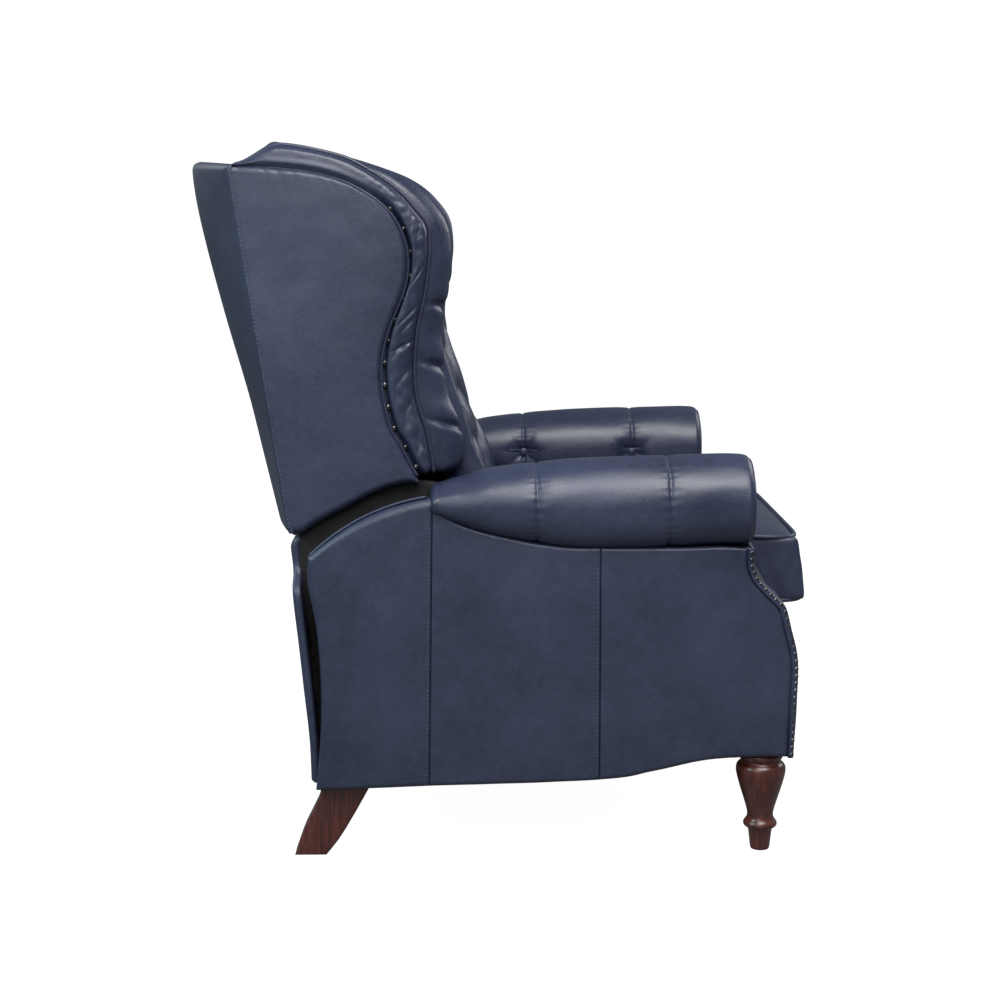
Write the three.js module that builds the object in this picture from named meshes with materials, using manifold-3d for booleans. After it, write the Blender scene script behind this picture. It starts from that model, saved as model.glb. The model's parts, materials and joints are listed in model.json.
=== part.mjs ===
// Push-back wing recliner: a sliding seat, a reclining wing back and a linked footrest in a
// fixed pair of rolled arms. Millimetres, +Z up, the chair faces -Y, X = 0 is its middle.
import * as THREE from 'three';
import { mergeVertices } from 'three/addons/utils/BufferGeometryUtils.js';
import Module from 'manifold-3d';

const wasm = await Module();
wasm.setup();

// ---------------------------------------------------------------- driving dimensions
const SEAT_WIDTH = 530;        // between the inside arms
const ARM_WIDTH = 130;         // inside face to outside face of an arm
const ROLL_PROUD = 23;         // arm roll beyond the outside face
const ARM_FRONT = -456;        // front of the arm's outside panel
const ARM_REAR = 278;          // rear of the arm's outside panel
const ARM_TOP = 623;           // top of the arm roll
const FRONT_LEG = 157;         // leg lengths
const REAR_LEG = 108;
const CUSHION_FRONT = -498;
const CUSHION_REAR = -9;
const CUSHION_BASE = 368;
const CUSHION_EDGE = 480;      // top welt of the seat cushion
const CROWN = 32;              // rise of the cushion's middle above its welt
const WING_BOTTOM = 500;       // lowest corner of the wings and of the outside back
const BACK_RISE = 607;         // from there to the top of the crest
const WING_HALF_WIDTH = 352;   // outside face of a wing
const BACK_BULGE = 90;         // barrel of the outside back at its top

// ---------------------------------------------------------------- stock and clearances
const GAP = 0.3;               // between faces that touch
const PAD = 25;                // padding on the inside arm
const OUTER_PAD = 20;          // outside arm and wing panels
const PLY = 22;                // arm frame board
const FACING = 10;             // padded strip on the arm's front edge
const PIPING = 2;              // room for the piping behind that strip
const SHELL = 12;              // outside back and rear panel
const SEAT_PLY = 18;
const POST = 24;               // thickness of the back's side posts
const RAIL = 12;               // slide rail and its bushes
const SIDE_PLATE = 6;
const LINK = 5;                // link thickness
const LINK_GAP = 1.5;          // washer space between links
const LINK_HALF = 10;          // half width of a link
const PIN_R = 5;
const PIN_CLEAR = 0.3;
const OPEN_PIN_CLEAR = 1.2;    // at the pivot where the linkage's closed loop is opened
const TUBE_R = 11;
const BUSH_R = 11;
const SLOT_CLEAR = 0.6;
const WIRE_R = 2;              // sinuous spring wire
const SPRING_WAVE = 22;        // half width of a sinuous spring

// ---------------------------------------------------------------- mechanism
const SLIDE_TRAVEL = 40;
const SLIDE_RISE = 10;         // degrees above level, towards the front
const RECLINE_PIVOT = [151.5, 300];
const DRIVE_PIVOT = [-338.5, 280];
const LINK_LENGTH = 200;
const LINK_CLOSED = 215;       // degrees up from straight ahead, footrest stowed
const FOOT_PIVOT = [-388.5, 240];
const IDLER_SPACING = 42;      // between the drive and idler pivots
const CONTROL_REACH = 15;      // idler link's tip beyond its pivot on the carrier
const CONTROL_REACH_TURN = -68.75;
const BRACKET_REACH = 26.4;
const BRACKET_TURN = 160.5;
const TUBE_ALONG = 60;         // drive tube's place on the drive link
const TUBE_ASIDE = 32;
const CARRIER_TUBE_DROP = 45;

// ---------------------------------------------------------------- derived places
const seatHalf = SEAT_WIDTH / 2;
const armOuter = seatHalf + ARM_WIDTH;
const frameIn = seatHalf + PAD + GAP;
const frameOut = frameIn + PLY;
const outerPanelIn = armOuter - OUTER_PAD;
const railIn = seatHalf - RAIL;
const layer = (depth, thickness) => [depth - LINK_GAP - thickness, depth - LINK_GAP];
const sidePlateX = layer(railIn, SIDE_PLATE);
const driveX = layer(sidePlateX[0], LINK);
const carrierX = layer(driveX[0], LINK);
const idlerX = layer(carrierX[0], LINK);
const controlX = layer(idlerX[0], LINK);
const cushionHalf = seatHalf - 3;
const wingIn = WING_HALF_WIDTH - OUTER_PAD + 2;
const wingPadIn = seatHalf + 3;
const seatFrameTop = CUSHION_BASE - 2 * WIRE_R - 2;
const seatFrameBottom = seatFrameTop - SEAT_PLY;
const seatFrameFront = CUSHION_FRONT + 106;
const seatFrameRear = CUSHION_REAR + 149;
const rearSill = REAR_LEG + GAP;
const frontSill = FRONT_LEG + GAP;
const legX = (frameOut + outerPanelIn) / 2 + 8;
const SIDES = [['right', -1], ['left', 1]];

const radians = THREE.MathUtils.degToRad;
// A point at a distance and an angle, measured up from straight ahead (-Y).
const reach = ([y, z], degrees, length) => [
  y - length * Math.cos(radians(degrees)), z + length * Math.sin(radians(degrees))];
const between = ([y0, z0], [y1, z1], t) => [y0 + (y1 - y0) * t, z0 + (z1 - z0) * t];
// Height on the back as a share of its rise, from the wing's lowest corner.
const high = (share) => WING_BOTTOM + BACK_RISE * share;

// ---------------------------------------------------------------- materials
const finish = (color, roughness, metalness = 0) => (
  { color, roughness, metalness });
const LEATHER = finish(0x3f4459, 0.42);
const CHERRY = finish(0x4a2a26, 0.35);
const PLYWOOD = finish(0xb08d62, 0.7);
const STEEL = finish(0x55585c, 0.35, 0.9);
const ZINC = finish(0x9a9da0, 0.3, 0.9);
const NYLON = finish(0xd8d6cf, 0.5);

const chair = new THREE.Group();
function add(name, geometry, material, place = [0, 0, 0]) {
  const mesh = new THREE.Mesh(geometry, new THREE.MeshStandardMaterial(material));
  mesh.name = name;
  mesh.position.set(...place);
  chair.add(mesh);
  return mesh;
}

// ---------------------------------------------------------------- shape helpers
// An outline in the Y-Z plane: a point is a straight side, a list of points a smooth one.
function outline(start, ...sides) {
  const shape = new THREE.Shape();
  shape.moveTo(...start);
  for (const side of sides) {
    if (typeof side[0] === 'number') shape.lineTo(...side);
    else shape.splineThru(side.map(([y, z]) => new THREE.Vector2(y, z)));
  }
  shape.closePath();
  return shape;
}

// An outline in the Y-Z plane, drawn out along X from x0 to x1.
function slab(shape, x0, x1, curveSegments = 1) {
  const depth = x1 - x0;
  const geometry = new THREE.ExtrudeGeometry(shape, { depth, bevelEnabled: false, curveSegments });
  geometry.applyMatrix4(new THREE.Matrix4().makeBasis(
    new THREE.Vector3(0, 1, 0), new THREE.Vector3(0, 0, 1), new THREE.Vector3(1, 0, 0)));
  return geometry.translate(x0, 0, 0);
}
const sideSlab = (side, shape, [inner, outer], segments) => (side > 0
  ? slab(shape, inner, outer, segments) : slab(shape, -outer, -inner, segments));

function box([x0, x1], [y0, y1], [z0, z1]) {
  return new THREE.BoxGeometry(x1 - x0, y1 - y0, z1 - z0)
    .translate((x0 + x1) / 2, (y0 + y1) / 2, (z0 + z1) / 2);
}

function circle([y, z], radius) {
  const shape = new THREE.Shape();
  shape.absarc(y, z, radius, 0, 2 * Math.PI);
  return shape;
}

const ARC_STEPS = 3;           // steps in a quarter turn of a pin, tube or round end
function rod(centre, radius, x0, x1) {
  return slab(circle(centre, radius), x0, x1, 2 * ARC_STEPS);
}

// A bar with round ends between two points of the Y-Z plane.
function capsule([y0, z0], [y1, z1], radius) {
  const heading = Math.atan2(z1 - z0, y1 - y0);
  const shape = new THREE.Shape();
  shape.absarc(y1, z1, radius, heading - Math.PI / 2, heading + Math.PI / 2);
  shape.absarc(y0, z0, radius, heading + Math.PI / 2, heading + 1.5 * Math.PI);
  shape.closePath();
  return shape;
}

function solid(geometry) {
  const bare = geometry.clone();
  bare.deleteAttribute('normal');
  bare.deleteAttribute('uv');
  const merged = mergeVertices(bare, 1e-4);
  return new wasm.Manifold(new wasm.Mesh({
    numProp: 3,
    vertProperties: new Float32Array(merged.attributes.position.array),
    triVerts: new Uint32Array(merged.index.array),
  }));
}

function toGeometry(manifold) {
  const mesh = manifold.getMesh();
  const geometry = new THREE.BufferGeometry();
  geometry.setAttribute('position', new THREE.BufferAttribute(mesh.vertProperties, 3));
  geometry.setIndex(new THREE.BufferAttribute(mesh.triVerts, 1));
  return geometry;
}

const join = (...geometries) => geometries.map(solid).reduce((a, b) => a.add(b));
const cut = (manifold, ...tools) => tools.map(solid).reduce((a, b) => a.subtract(b), manifold);

// Moves every vertex of a geometry by a formula.
function reshape(geometry, formula) {
  const { position } = geometry.attributes;
  for (let i = 0; i < position.count; i += 1) {
    position.setXYZ(i, ...formula(position.getX(i), position.getY(i), position.getZ(i)));
  }
  return geometry;
}

// A flat link in one layer: round bars between pivots, pins standing on it, holes through it.
function link(side, layerX, bars, { pins = [], holes = [] } = {}) {
  const [inner, outer] = layerX;
  const span = (x0, x1) => (side > 0 ? [x0, x1] : [-x1, -x0]);
  let body = join(...bars.map(([a, b, half = LINK_HALF]) => (
    sideSlab(side, capsule(a, b, half), layerX, ARC_STEPS))));
  for (const { at, from, to, radius = PIN_R } of pins) {
    body = body.add(solid(rod(at, radius, ...span(from, to))));
  }
  for (const { at, clear = PIN_CLEAR } of holes) {
    body = cut(body, rod(at, PIN_R + clear, ...span(inner - 1, outer + 1)));
  }
  return toGeometry(body);
}

// ---------------------------------------------------------------- arm outlines
const ARC_CENTRE = [56, 243];  // the arm's sloping rear top
const ARC_RADIUS = 324;
const rearArc = (inset, fromDegrees, toDegrees, count) => Array.from({ length: count }, (_, i) => {
  const angle = radians(fromDegrees + (toDegrees - fromDegrees) * (i / (count - 1)));
  const radius = ARC_RADIUS - inset;
  return [ARC_CENTRE[0] + radius * Math.cos(angle), ARC_CENTRE[1] + radius * Math.sin(angle)];
});
// The line under the arm roll, rear to front, lowered by a drop.
const UNDER_ROLL = ARM_TOP - 146;
const underRoll = (drop) => [
  [78, UNDER_ROLL + 48], [48, UNDER_ROLL + 35], [-27, UNDER_ROLL + 15], [-74, UNDER_ROLL + 6],
  [-138, UNDER_ROLL], [-280, UNDER_ROLL + 3], [-339, UNDER_ROLL + 8],
].map(([y, z]) => [y, z - drop]);
// The S-shaped front edge of the arm, top to bottom, moved back by an inset.
const frontEdge = (inset) => [
  [73, UNDER_ROLL + 8], [73, 459], [62, 435], [46, 416], [30, 400], [19, 388], [11, 356],
  [0, 308], [1, 249], [5, FRONT_LEG],
].map(([y, z]) => [ARM_FRONT + y + inset, z]);

// ---------------------------------------------------------------- arms
const armPanel = outline(
  [ARM_REAR, REAR_LEG], [ARM_REAR - 8, 205], [ARM_REAR - 8, 290],
  [[ARM_REAR - 2, 364], [ARM_REAR + 10, 430], [ARM_REAR + 15, 462]],
  rearArc(0, 45, 83, 7), underRoll(0), frontEdge(0),
  [[ARM_FRONT + 76, FRONT_LEG], [ARM_FRONT + 138, FRONT_LEG - 6], [ARM_FRONT + 296, REAR_LEG + 14]],
  [ARM_REAR - 173, REAR_LEG + 5]);

const FRAME_INSET = 15;
const frameRear = ARM_REAR - 16;
const framePlate = outline(
  [frameRear, REAR_LEG + 22], [frameRear, 300], [[frameRear + 3, 380], [frameRear + 10, 430]],
  rearArc(FRAME_INSET, 42, 78, 6), underRoll(FRAME_INSET - 6), frontEdge(FRAME_INSET),
  [ARM_FRONT + 146, frontSill], [ARM_FRONT + 306, REAR_LEG + 26]);
const sillOutline = outline(
  [frameRear, rearSill], [frameRear - 78, rearSill], [frameRear - 112, rearSill + 18],
  [ARM_FRONT + 306, rearSill + 26], [ARM_FRONT + 146, frontSill], [ARM_FRONT + FRAME_INSET, frontSill],
  [ARM_FRONT + FRAME_INSET, frontSill + 42], [ARM_FRONT + 306, rearSill + 66],
  [frameRear, rearSill + 58]);
const facingStrip = outline(frontEdge(-PIPING)[0], frontEdge(-PIPING).slice(1),
  frontEdge(-FACING).reverse());

// Height of the arm roll's underside and top at stations from its front to its rear.
const ROLL_STATIONS = [
  [-398, 26, 26], [-385, 10, 8], [-340, 7, 0], [-240, 4, 2], [-138, 1, 6], [-60, 9, 13],
  [15, 26, 27], [60, 44, 42], [84, 68, 53],
];
function armRoll(side) {
  const middle = (wingPadIn + armOuter + ROLL_PROUD) / 2;
  const half = (armOuter + ROLL_PROUD - wingPadIn) / 2;
  const steps = ROLL_STATIONS.length - 1;
  return reshape(new THREE.CylinderGeometry(1, 1, steps, 16, steps), (x, y, z) => {
    const [at, lift, drop] = ROLL_STATIONS[Math.round(y + steps / 2)];
    const low = UNDER_ROLL + lift + 1;
    const top = ARM_TOP - drop;
    return [side * middle - x * half, at, (low + top) / 2 - z * ((top - low) / 2)];
  });
}

for (const [hand, side] of SIDES) {
  const frameX = [frameIn, frameOut];
  const sill = sideSlab(side, sillOutline, [frameOut - 1, outerPanelIn - GAP]);
  add(`arm_frame_${hand}`, toGeometry(join(sideSlab(side, framePlate, frameX), sill)), PLYWOOD);
  add(`outside_arm_${hand}`, sideSlab(side, armPanel, [outerPanelIn, armOuter]), LEATHER);
  const insideArm = outline([ARM_FRONT + 20, CUSHION_BASE - 18], [150, CUSHION_BASE - 18],
    rearArc(10, 72, 82, 2), underRoll(1), frontEdge(20).slice(0, 7));
  add(`inside_arm_${hand}`, sideSlab(side, insideArm, [seatHalf, seatHalf + PAD]), LEATHER);
  add(`arm_facing_${hand}`, sideSlab(side, facingStrip, [seatHalf, armOuter]), LEATHER);
  add(`arm_roll_${hand}`, armRoll(side), LEATHER);
}

// ---------------------------------------------------------------- legs
const LEG_PROFILE = [
  [0, 0], [15.5, 0], [18, 0.23], [26.5, 0.25], [26.5, 0.29], [19.5, 0.36], [27, 0.52],
  [37, 0.73], [39.5, 0.82], [36, 0.89], [30.5, 0.91], [30.5, 0.95], [33, 1], [0, 1],
];
const REAR_LEG_THICK = 44;
const rearLeg = outline([ARM_REAR - 82, REAR_LEG],
  [[ARM_REAR - 60, REAR_LEG * 0.62], [ARM_REAR - 36, REAR_LEG * 0.26], [ARM_REAR - 14, 0]],
  [ARM_REAR + 30, 0],
  [[ARM_REAR + 10, REAR_LEG * 0.4], [ARM_REAR - 6, REAR_LEG * 0.8], [ARM_REAR - 11, REAR_LEG]]);
for (const [hand, side] of SIDES) {
  const turned = new THREE.LatheGeometry(
    LEG_PROFILE.map(([r, share]) => new THREE.Vector2(r, share * FRONT_LEG)), 18)
    .rotateX(Math.PI / 2);
  add(`front_leg_${hand}`, turned, CHERRY, [side * legX, ARM_FRONT + 42, 0]);
  add(`rear_leg_${hand}`, sideSlab(side, rearLeg,
    [legX - REAR_LEG_THICK / 2, legX + REAR_LEG_THICK / 2], 2), CHERRY);
}

// ---------------------------------------------------------------- rear of the base
const REAR_RAIL = [235, frameRear];
add('rear_rail', box([-frameIn + GAP, frameIn - GAP], REAR_RAIL, [REAR_LEG + 6, REAR_LEG + 62]), PLYWOOD);
const REAR_PANEL_TOP = WING_BOTTOM - 38;
const rearPanelFace = [[ARM_REAR + 4, REAR_LEG + 14], [ARM_REAR + 5, 190], [ARM_REAR + 13, 275],
  [ARM_REAR + 25, 379], [ARM_REAR + 34, REAR_PANEL_TOP]];
const rearPanel = outline(rearPanelFace[0], rearPanelFace.slice(1),
  ...rearPanelFace.map(([y, z]) => [y - SHELL, z]).reverse());
add('rear_panel', slab(rearPanel, GAP - outerPanelIn, outerPanelIn - GAP), LEATHER);

// ---------------------------------------------------------------- slide rails and cross tubes
const BUSH_AT = [[-150, 300], [50, 300]];
const slideTo = (point) => reach(point, SLIDE_RISE, SLIDE_TRAVEL);
const RAIL_HALF = 24;
const RAIL_FEET = [-222, 80];
for (const [hand, side] of SIDES) {
  const ends = [reach(BUSH_AT[0], 0, 80), reach(BUSH_AT[1], 180, 40)];
  const feet = RAIL_FEET.map((y) => sideSlab(side,
    capsule([y, 296], [y, 304], 14), [seatHalf - 1, frameIn - GAP], ARC_STEPS));
  const slots = BUSH_AT.map((at) => sideSlab(side,
    capsule(slideTo(at), at, BUSH_R + SLOT_CLEAR), [railIn - 1, seatHalf + 1], ARC_STEPS));
  const rail = cut(solid(sideSlab(side, capsule(ends[0], ends[1], RAIL_HALF), [railIn, seatHalf], ARC_STEPS)),
    ...slots);
  add(`slide_rail_${hand}`, toGeometry(feet.map(solid).reduce((a, b) => a.add(b), rail)), STEEL);
}
const CROSS_TUBES = { front: [-100, 176], rear: [205, 200] };
for (const [place, at] of Object.entries(CROSS_TUBES)) {
  add(`cross_tube_${place}`, rod(at, TUBE_R, GAP - frameIn, frameIn - GAP), STEEL);
}

// ---------------------------------------------------------------- seat
const SEAT_RAIL_WIDTH = 60;
const seatFrameHalf = sidePlateX[1];
const seatOpening = {
  x: seatFrameHalf - SEAT_RAIL_WIDTH,
  y: [seatFrameFront + SEAT_RAIL_WIDTH, seatFrameRear - SEAT_RAIL_WIDTH],
};
add('seat_frame', toGeometry(cut(
  solid(box([-seatFrameHalf, seatFrameHalf], [seatFrameFront, seatFrameRear],
    [seatFrameBottom, seatFrameTop])),
  box([-seatOpening.x, seatOpening.x], seatOpening.y, [seatFrameBottom - 1, seatFrameTop + 1]))),
PLYWOOD);

// A sinuous spring: a wire that swings from side to side along a path of Y-Z points.
function sinuousSpring(x, path, waves) {
  const steps = waves * 4;
  const points = Array.from({ length: steps + 1 }, (_, i) => {
    const place = (i / steps) * (path.length - 1);
    const index = Math.min(Math.floor(place), path.length - 2);
    const [y, z] = between(path[index], path[index + 1], place - index);
    return new THREE.Vector3(x + SPRING_WAVE * Math.sin((i * Math.PI) / 2), y, z);
  });
  const extrudePath = new THREE.CatmullRomCurve3(points);
  return new THREE.ExtrudeGeometry(circle([0, 0], WIRE_R),
    { extrudePath, steps: steps * 2, bevelEnabled: false, curveSegments: 2 });
}
const springZ = seatFrameTop + WIRE_R + GAP;
[-1, 0, 1].forEach((place, index) => {
  const path = [[seatOpening.y[0] - 20, springZ], [seatOpening.y[1] + 20, springZ]];
  add(`seat_spring_${index + 1}`, sinuousSpring(place * 120, path, 6), ZINC);
});

// The cushion's top rises to a crown, and falls away at the front.
const cushionLength = CUSHION_REAR - CUSHION_FRONT;
const cushionMiddle = (CUSHION_REAR + CUSHION_FRONT) / 2;
const cushionHeight = CUSHION_EDGE - CUSHION_BASE;
add('seat_cushion', reshape(
  new THREE.BoxGeometry(2 * cushionHalf, cushionLength, cushionHeight, 6, 6, 1), (x, y, z) => {
    const crown = z > 0 ? CROWN * (1 - (x / cushionHalf) ** 2) * (1 - (2 * y / cushionLength) ** 4) : 0;
    return [x, cushionMiddle + y, CUSHION_BASE + cushionHeight / 2 + z + crown];
  }), LEATHER);

// ---------------------------------------------------------------- footrest linkage, stowed
const carrierEnd = reach(DRIVE_PIVOT, LINK_CLOSED, LINK_LENGTH);
const carrierTurn = THREE.MathUtils.radToDeg(
  Math.atan2(FOOT_PIVOT[1] - carrierEnd[1], carrierEnd[0] - FOOT_PIVOT[0]));
const idlerPivot = reach(DRIVE_PIVOT, carrierTurn, IDLER_SPACING);
const idlerEnd = reach(carrierEnd, carrierTurn, IDLER_SPACING);
const controlStart = reach(idlerEnd, LINK_CLOSED + CONTROL_REACH_TURN, CONTROL_REACH);
const controlEnd = reach(FOOT_PIVOT, BRACKET_TURN, BRACKET_REACH);
const driveTubeAt = reach(reach(DRIVE_PIVOT, LINK_CLOSED, TUBE_ALONG), LINK_CLOSED - 90, TUBE_ASIDE);
const carrierMiddle = between(carrierEnd, FOOT_PIVOT, 0.5);
const carrierTubeAt = reach(carrierMiddle, carrierTurn - 90, CARRIER_TUBE_DROP);

const BOARD = 12;
const FOOT_PAD = 28;
const boardBack = FOOT_PIVOT[0] - LINK_HALF - LINK_GAP;
const FOOT_BOTTOM = FRONT_LEG + 3;
const FOOT_TOP = seatFrameTop - 7;
const footHalf = seatHalf - 10;
const FOOT_RADIUS = 9;         // round ends of the bracket and of the control link
const plateZ = seatFrameBottom - GAP - 18;

for (const [hand, side] of SIDES) {
  const plateFront = [seatFrameFront + 19, plateZ];
  const plateRear = [RECLINE_PIVOT[0] + 10, plateZ];
  add(`seat_side_plate_${hand}`, link(side, sidePlateX, [
    [plateFront, plateRear, 18],
    [[DRIVE_PIVOT[0], plateZ], DRIVE_PIVOT, 14], [[idlerPivot[0], plateZ], idlerPivot, 12],
    [[RECLINE_PIVOT[0], plateZ], RECLINE_PIVOT, 18],
    ...BUSH_AT.map((at) => [[at[0], plateZ], at, 14]),
  ], {
    pins: [
      { at: DRIVE_PIVOT, from: driveX[0], to: sidePlateX[1] },
      { at: RECLINE_PIVOT, from: driveX[0], to: sidePlateX[1] },
      { at: idlerPivot, from: idlerX[0], to: sidePlateX[1] },
      ...BUSH_AT.map((at) => ({ at, from: sidePlateX[0], to: seatHalf - 1 })),
    ],
  }), STEEL);
  BUSH_AT.forEach((at, index) => {
    const bush = cut(solid(sideSlab(side, circle(at, BUSH_R), [railIn + 0.5, seatHalf - 0.5], 2 * ARC_STEPS)),
      rod(at, PIN_R + PIN_CLEAR, -armOuter, armOuter));
    add(`glide_bush_${hand}_${index + 1}`, toGeometry(bush), NYLON);
  });
  add(`drive_link_${hand}`, link(side, driveX, [
    [DRIVE_PIVOT, carrierEnd], [DRIVE_PIVOT, driveTubeAt], [driveTubeAt, carrierEnd],
  ], { holes: [{ at: DRIVE_PIVOT }], pins: [{ at: carrierEnd, from: carrierX[0], to: driveX[1] }] }),
  STEEL);
  add(`idler_link_${hand}`, link(side, idlerX, [
    [idlerPivot, idlerEnd], [idlerEnd, controlStart],
  ], {
    holes: [{ at: idlerPivot }],
    pins: [{ at: idlerEnd, from: idlerX[0], to: carrierX[1] },
      { at: controlStart, from: controlX[0], to: idlerX[1] }],
  }), STEEL);
  add(`carrier_link_${hand}`, link(side, carrierX, [
    [carrierEnd, FOOT_PIVOT], [carrierMiddle, carrierTubeAt],
  ], { holes: [{ at: carrierEnd }, { at: idlerEnd }, { at: FOOT_PIVOT }] }), STEEL);
  add(`control_link_${hand}`, link(side, controlX, [
    [controlStart, controlEnd, FOOT_RADIUS],
  ], { holes: [{ at: controlStart }, { at: controlEnd, clear: OPEN_PIN_CLEAR }] }), STEEL);
  const [footIn, footOut] = side > 0 ? idlerX : idlerX.map((x) => -x).reverse();
  const footX = side > 0 ? [footIn - 20, footOut] : [footIn, footOut + 20];
  const flange = box(footX, [boardBack + GAP, boardBack + 4], [FOOT_PIVOT[1] - 40, FOOT_PIVOT[1] + 50]);
  const bracket = link(side, idlerX, [[FOOT_PIVOT, controlEnd, FOOT_RADIUS]], {
    pins: [{ at: FOOT_PIVOT, from: idlerX[0], to: carrierX[1] },
      { at: controlEnd, from: controlX[0], to: idlerX[1] }],
  });
  const web = box([footIn, footOut], [boardBack + GAP, FOOT_PIVOT[0]],
    [FOOT_PIVOT[1] - FOOT_RADIUS, FOOT_PIVOT[1] + FOOT_RADIUS]);
  add(`footrest_bracket_${hand}`, toGeometry(solid(bracket).add(join(flange, web))), STEEL);
}
add('seat_cross_tube', rod([RECLINE_PIVOT[0] - 60, plateZ - 2], TUBE_R - 2, GAP - sidePlateX[0],
  sidePlateX[0] - GAP), STEEL);
add('drive_tube', rod(driveTubeAt, TUBE_R - 2, GAP - driveX[0], driveX[0] - GAP), STEEL);
add('carrier_tube', rod(carrierTubeAt, TUBE_R - 3, GAP - carrierX[0], carrierX[0] - GAP), STEEL);
add('footrest_board', box([-footHalf, footHalf], [boardBack - BOARD, boardBack], [FOOT_BOTTOM, FOOT_TOP]),
  PLYWOOD);
add('footrest_pad', box([-footHalf, footHalf],
  [boardBack - BOARD - GAP - FOOT_PAD, boardBack - BOARD - GAP], [FOOT_BOTTOM, FOOT_TOP]), LEATHER);

// ---------------------------------------------------------------- back frame
// The posts stand upright to the bend, then lean back.
const POST_DEPTH = 44;
const POST_FRONT = 150;
const POST_BOTTOM = 345;
const postBend = WING_BOTTOM + 30;
const postTop = high(0.89);
const POST_LEAN = 182 / BACK_RISE;  // run back for each unit of rise above the bend
const postLine = (z) => POST_FRONT + Math.max(0, z - postBend) * POST_LEAN;
const post = outline([POST_FRONT, POST_BOTTOM], [POST_FRONT + POST_DEPTH, POST_BOTTOM],
  [POST_FRONT + POST_DEPTH, postBend], [postLine(postTop) + POST_DEPTH, postTop],
  [postLine(postTop), postTop], [POST_FRONT, postBend]);
const postOut = driveX[0] - GAP;
const postIn = postOut - POST;
for (const [hand, side] of SIDES) {
  add(`back_post_${hand}`, sideSlab(side, post, [postIn, postOut]), PLYWOOD);
  add(`back_bracket_${hand}`, link(side, driveX, [
    [RECLINE_PIVOT, [POST_FRONT + 22, postBend - 40], 16],
  ], { holes: [{ at: RECLINE_PIVOT }] }), STEEL);
}
const railHalf = postIn - GAP;
const BACK_RAIL = 60;
const topRailZ = postTop - BACK_RAIL;
add('back_top_rail', box([-railHalf, railHalf],
  [postLine(postTop) + 2, postLine(postTop) + 26], [topRailZ, postTop]), PLYWOOD);
add('back_bottom_rail', box([-railHalf, railHalf], [POST_FRONT + 2, POST_FRONT + 26],
  [POST_BOTTOM + 10, POST_BOTTOM + 10 + BACK_RAIL]), PLYWOOD);
[-1, 1].forEach((place, index) => {
  const ahead = WIRE_R + GAP;
  const low = POST_BOTTOM + 30;
  const springTop = postTop - 20;
  const path = [[POST_FRONT + 2 - ahead, low], [POST_FRONT + 2 - ahead, postBend],
    [postLine(springTop) - ahead, springTop]];
  add(`back_spring_${index + 1}`, sinuousSpring(place * 90, path, 8), ZINC);
});

// ---------------------------------------------------------------- back covers and pads
// The side seam of the outside back leans; its middle bulges more the higher it is.
const seamBottom = [ARM_REAR + 41, WING_BOTTOM];
const seamTop = [ARM_REAR + 130, high(0.934)];
const seam = (z) => between(seamBottom, seamTop, (z - WING_BOTTOM) / (seamTop[1] - WING_BOTTOM))[0];
const bulge = (x, z) => BACK_BULGE * (1 - (x / WING_HALF_WIDTH) ** 2)
  * ((z - WING_BOTTOM) / (seamTop[1] - WING_BOTTOM));
const shellHalf = wingIn - GAP;
const shellHeight = seamTop[1] - WING_BOTTOM;
add('outside_back', reshape(
  new THREE.BoxGeometry(2 * shellHalf, 1, shellHeight, 10, 1, 5), (x, y, z) => {
    const height = WING_BOTTOM + shellHeight / 2 + z;
    return [x, seam(height) + bulge(x, height) - (y < 0 ? SHELL : 0), height];
  }), LEATHER);

// The wing's front edge from its top to its bottom, and the ear's pad ahead of it.
const wingEdge = [[334, 0.926], [280, 0.916], [236, 0.895], [206, 0.870], [159, 0.807], [144, 0.763],
  [136, 0.714], [136, 0.675], [153, 0.573], [173, 0.474], [177, 0.377], [162, 0.265], [134, 0.181],
  [122, 0.149]].map(([y, share]) => [y, high(share)]);
const wingPanel = outline([seamTop[0], seamTop[1]], wingEdge,
  [[144, high(0.152)], [184, high(0.124)], [228, high(0.086)], [273, high(0.043)]],
  [298, WING_BOTTOM + 5], seamBottom);
const padFront = [[355, 0.989], [281, 0.970], [233, 0.954], [174, 0.900], [124, 0.822], [103, 0.782],
  [84, 0.74], [72, 0.70], [76, 0.6], [83, 0.52], [83, 0.47], [74, 0.318], [52, 0.247], [46, 0.198],
].map(([y, share]) => [y, high(share)]);
const padBottom = WING_BOTTOM + 96;   // clear above the arm roll
padFront.push([60, padBottom]);
const padRear = [[150, (padBottom - WING_BOTTOM) / BACK_RISE], [190, 0.3], [225, 0.45], [245, 0.6], [285, 0.8], [330, 0.875]]
  .map(([y, share]) => [y, high(share)]);
const wingPad = outline([404, high(0.94)], [400, high(0.972)], padFront, padRear, [392, high(0.89)]);
for (const [hand, side] of SIDES) {
  add(`outside_wing_${hand}`, sideSlab(side, wingPanel, [wingIn, WING_HALF_WIDTH]), LEATHER);
  add(`wing_pad_${hand}`, sideSlab(side, wingPad, [wingPadIn, wingIn - GAP]), LEATHER);
}

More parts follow.
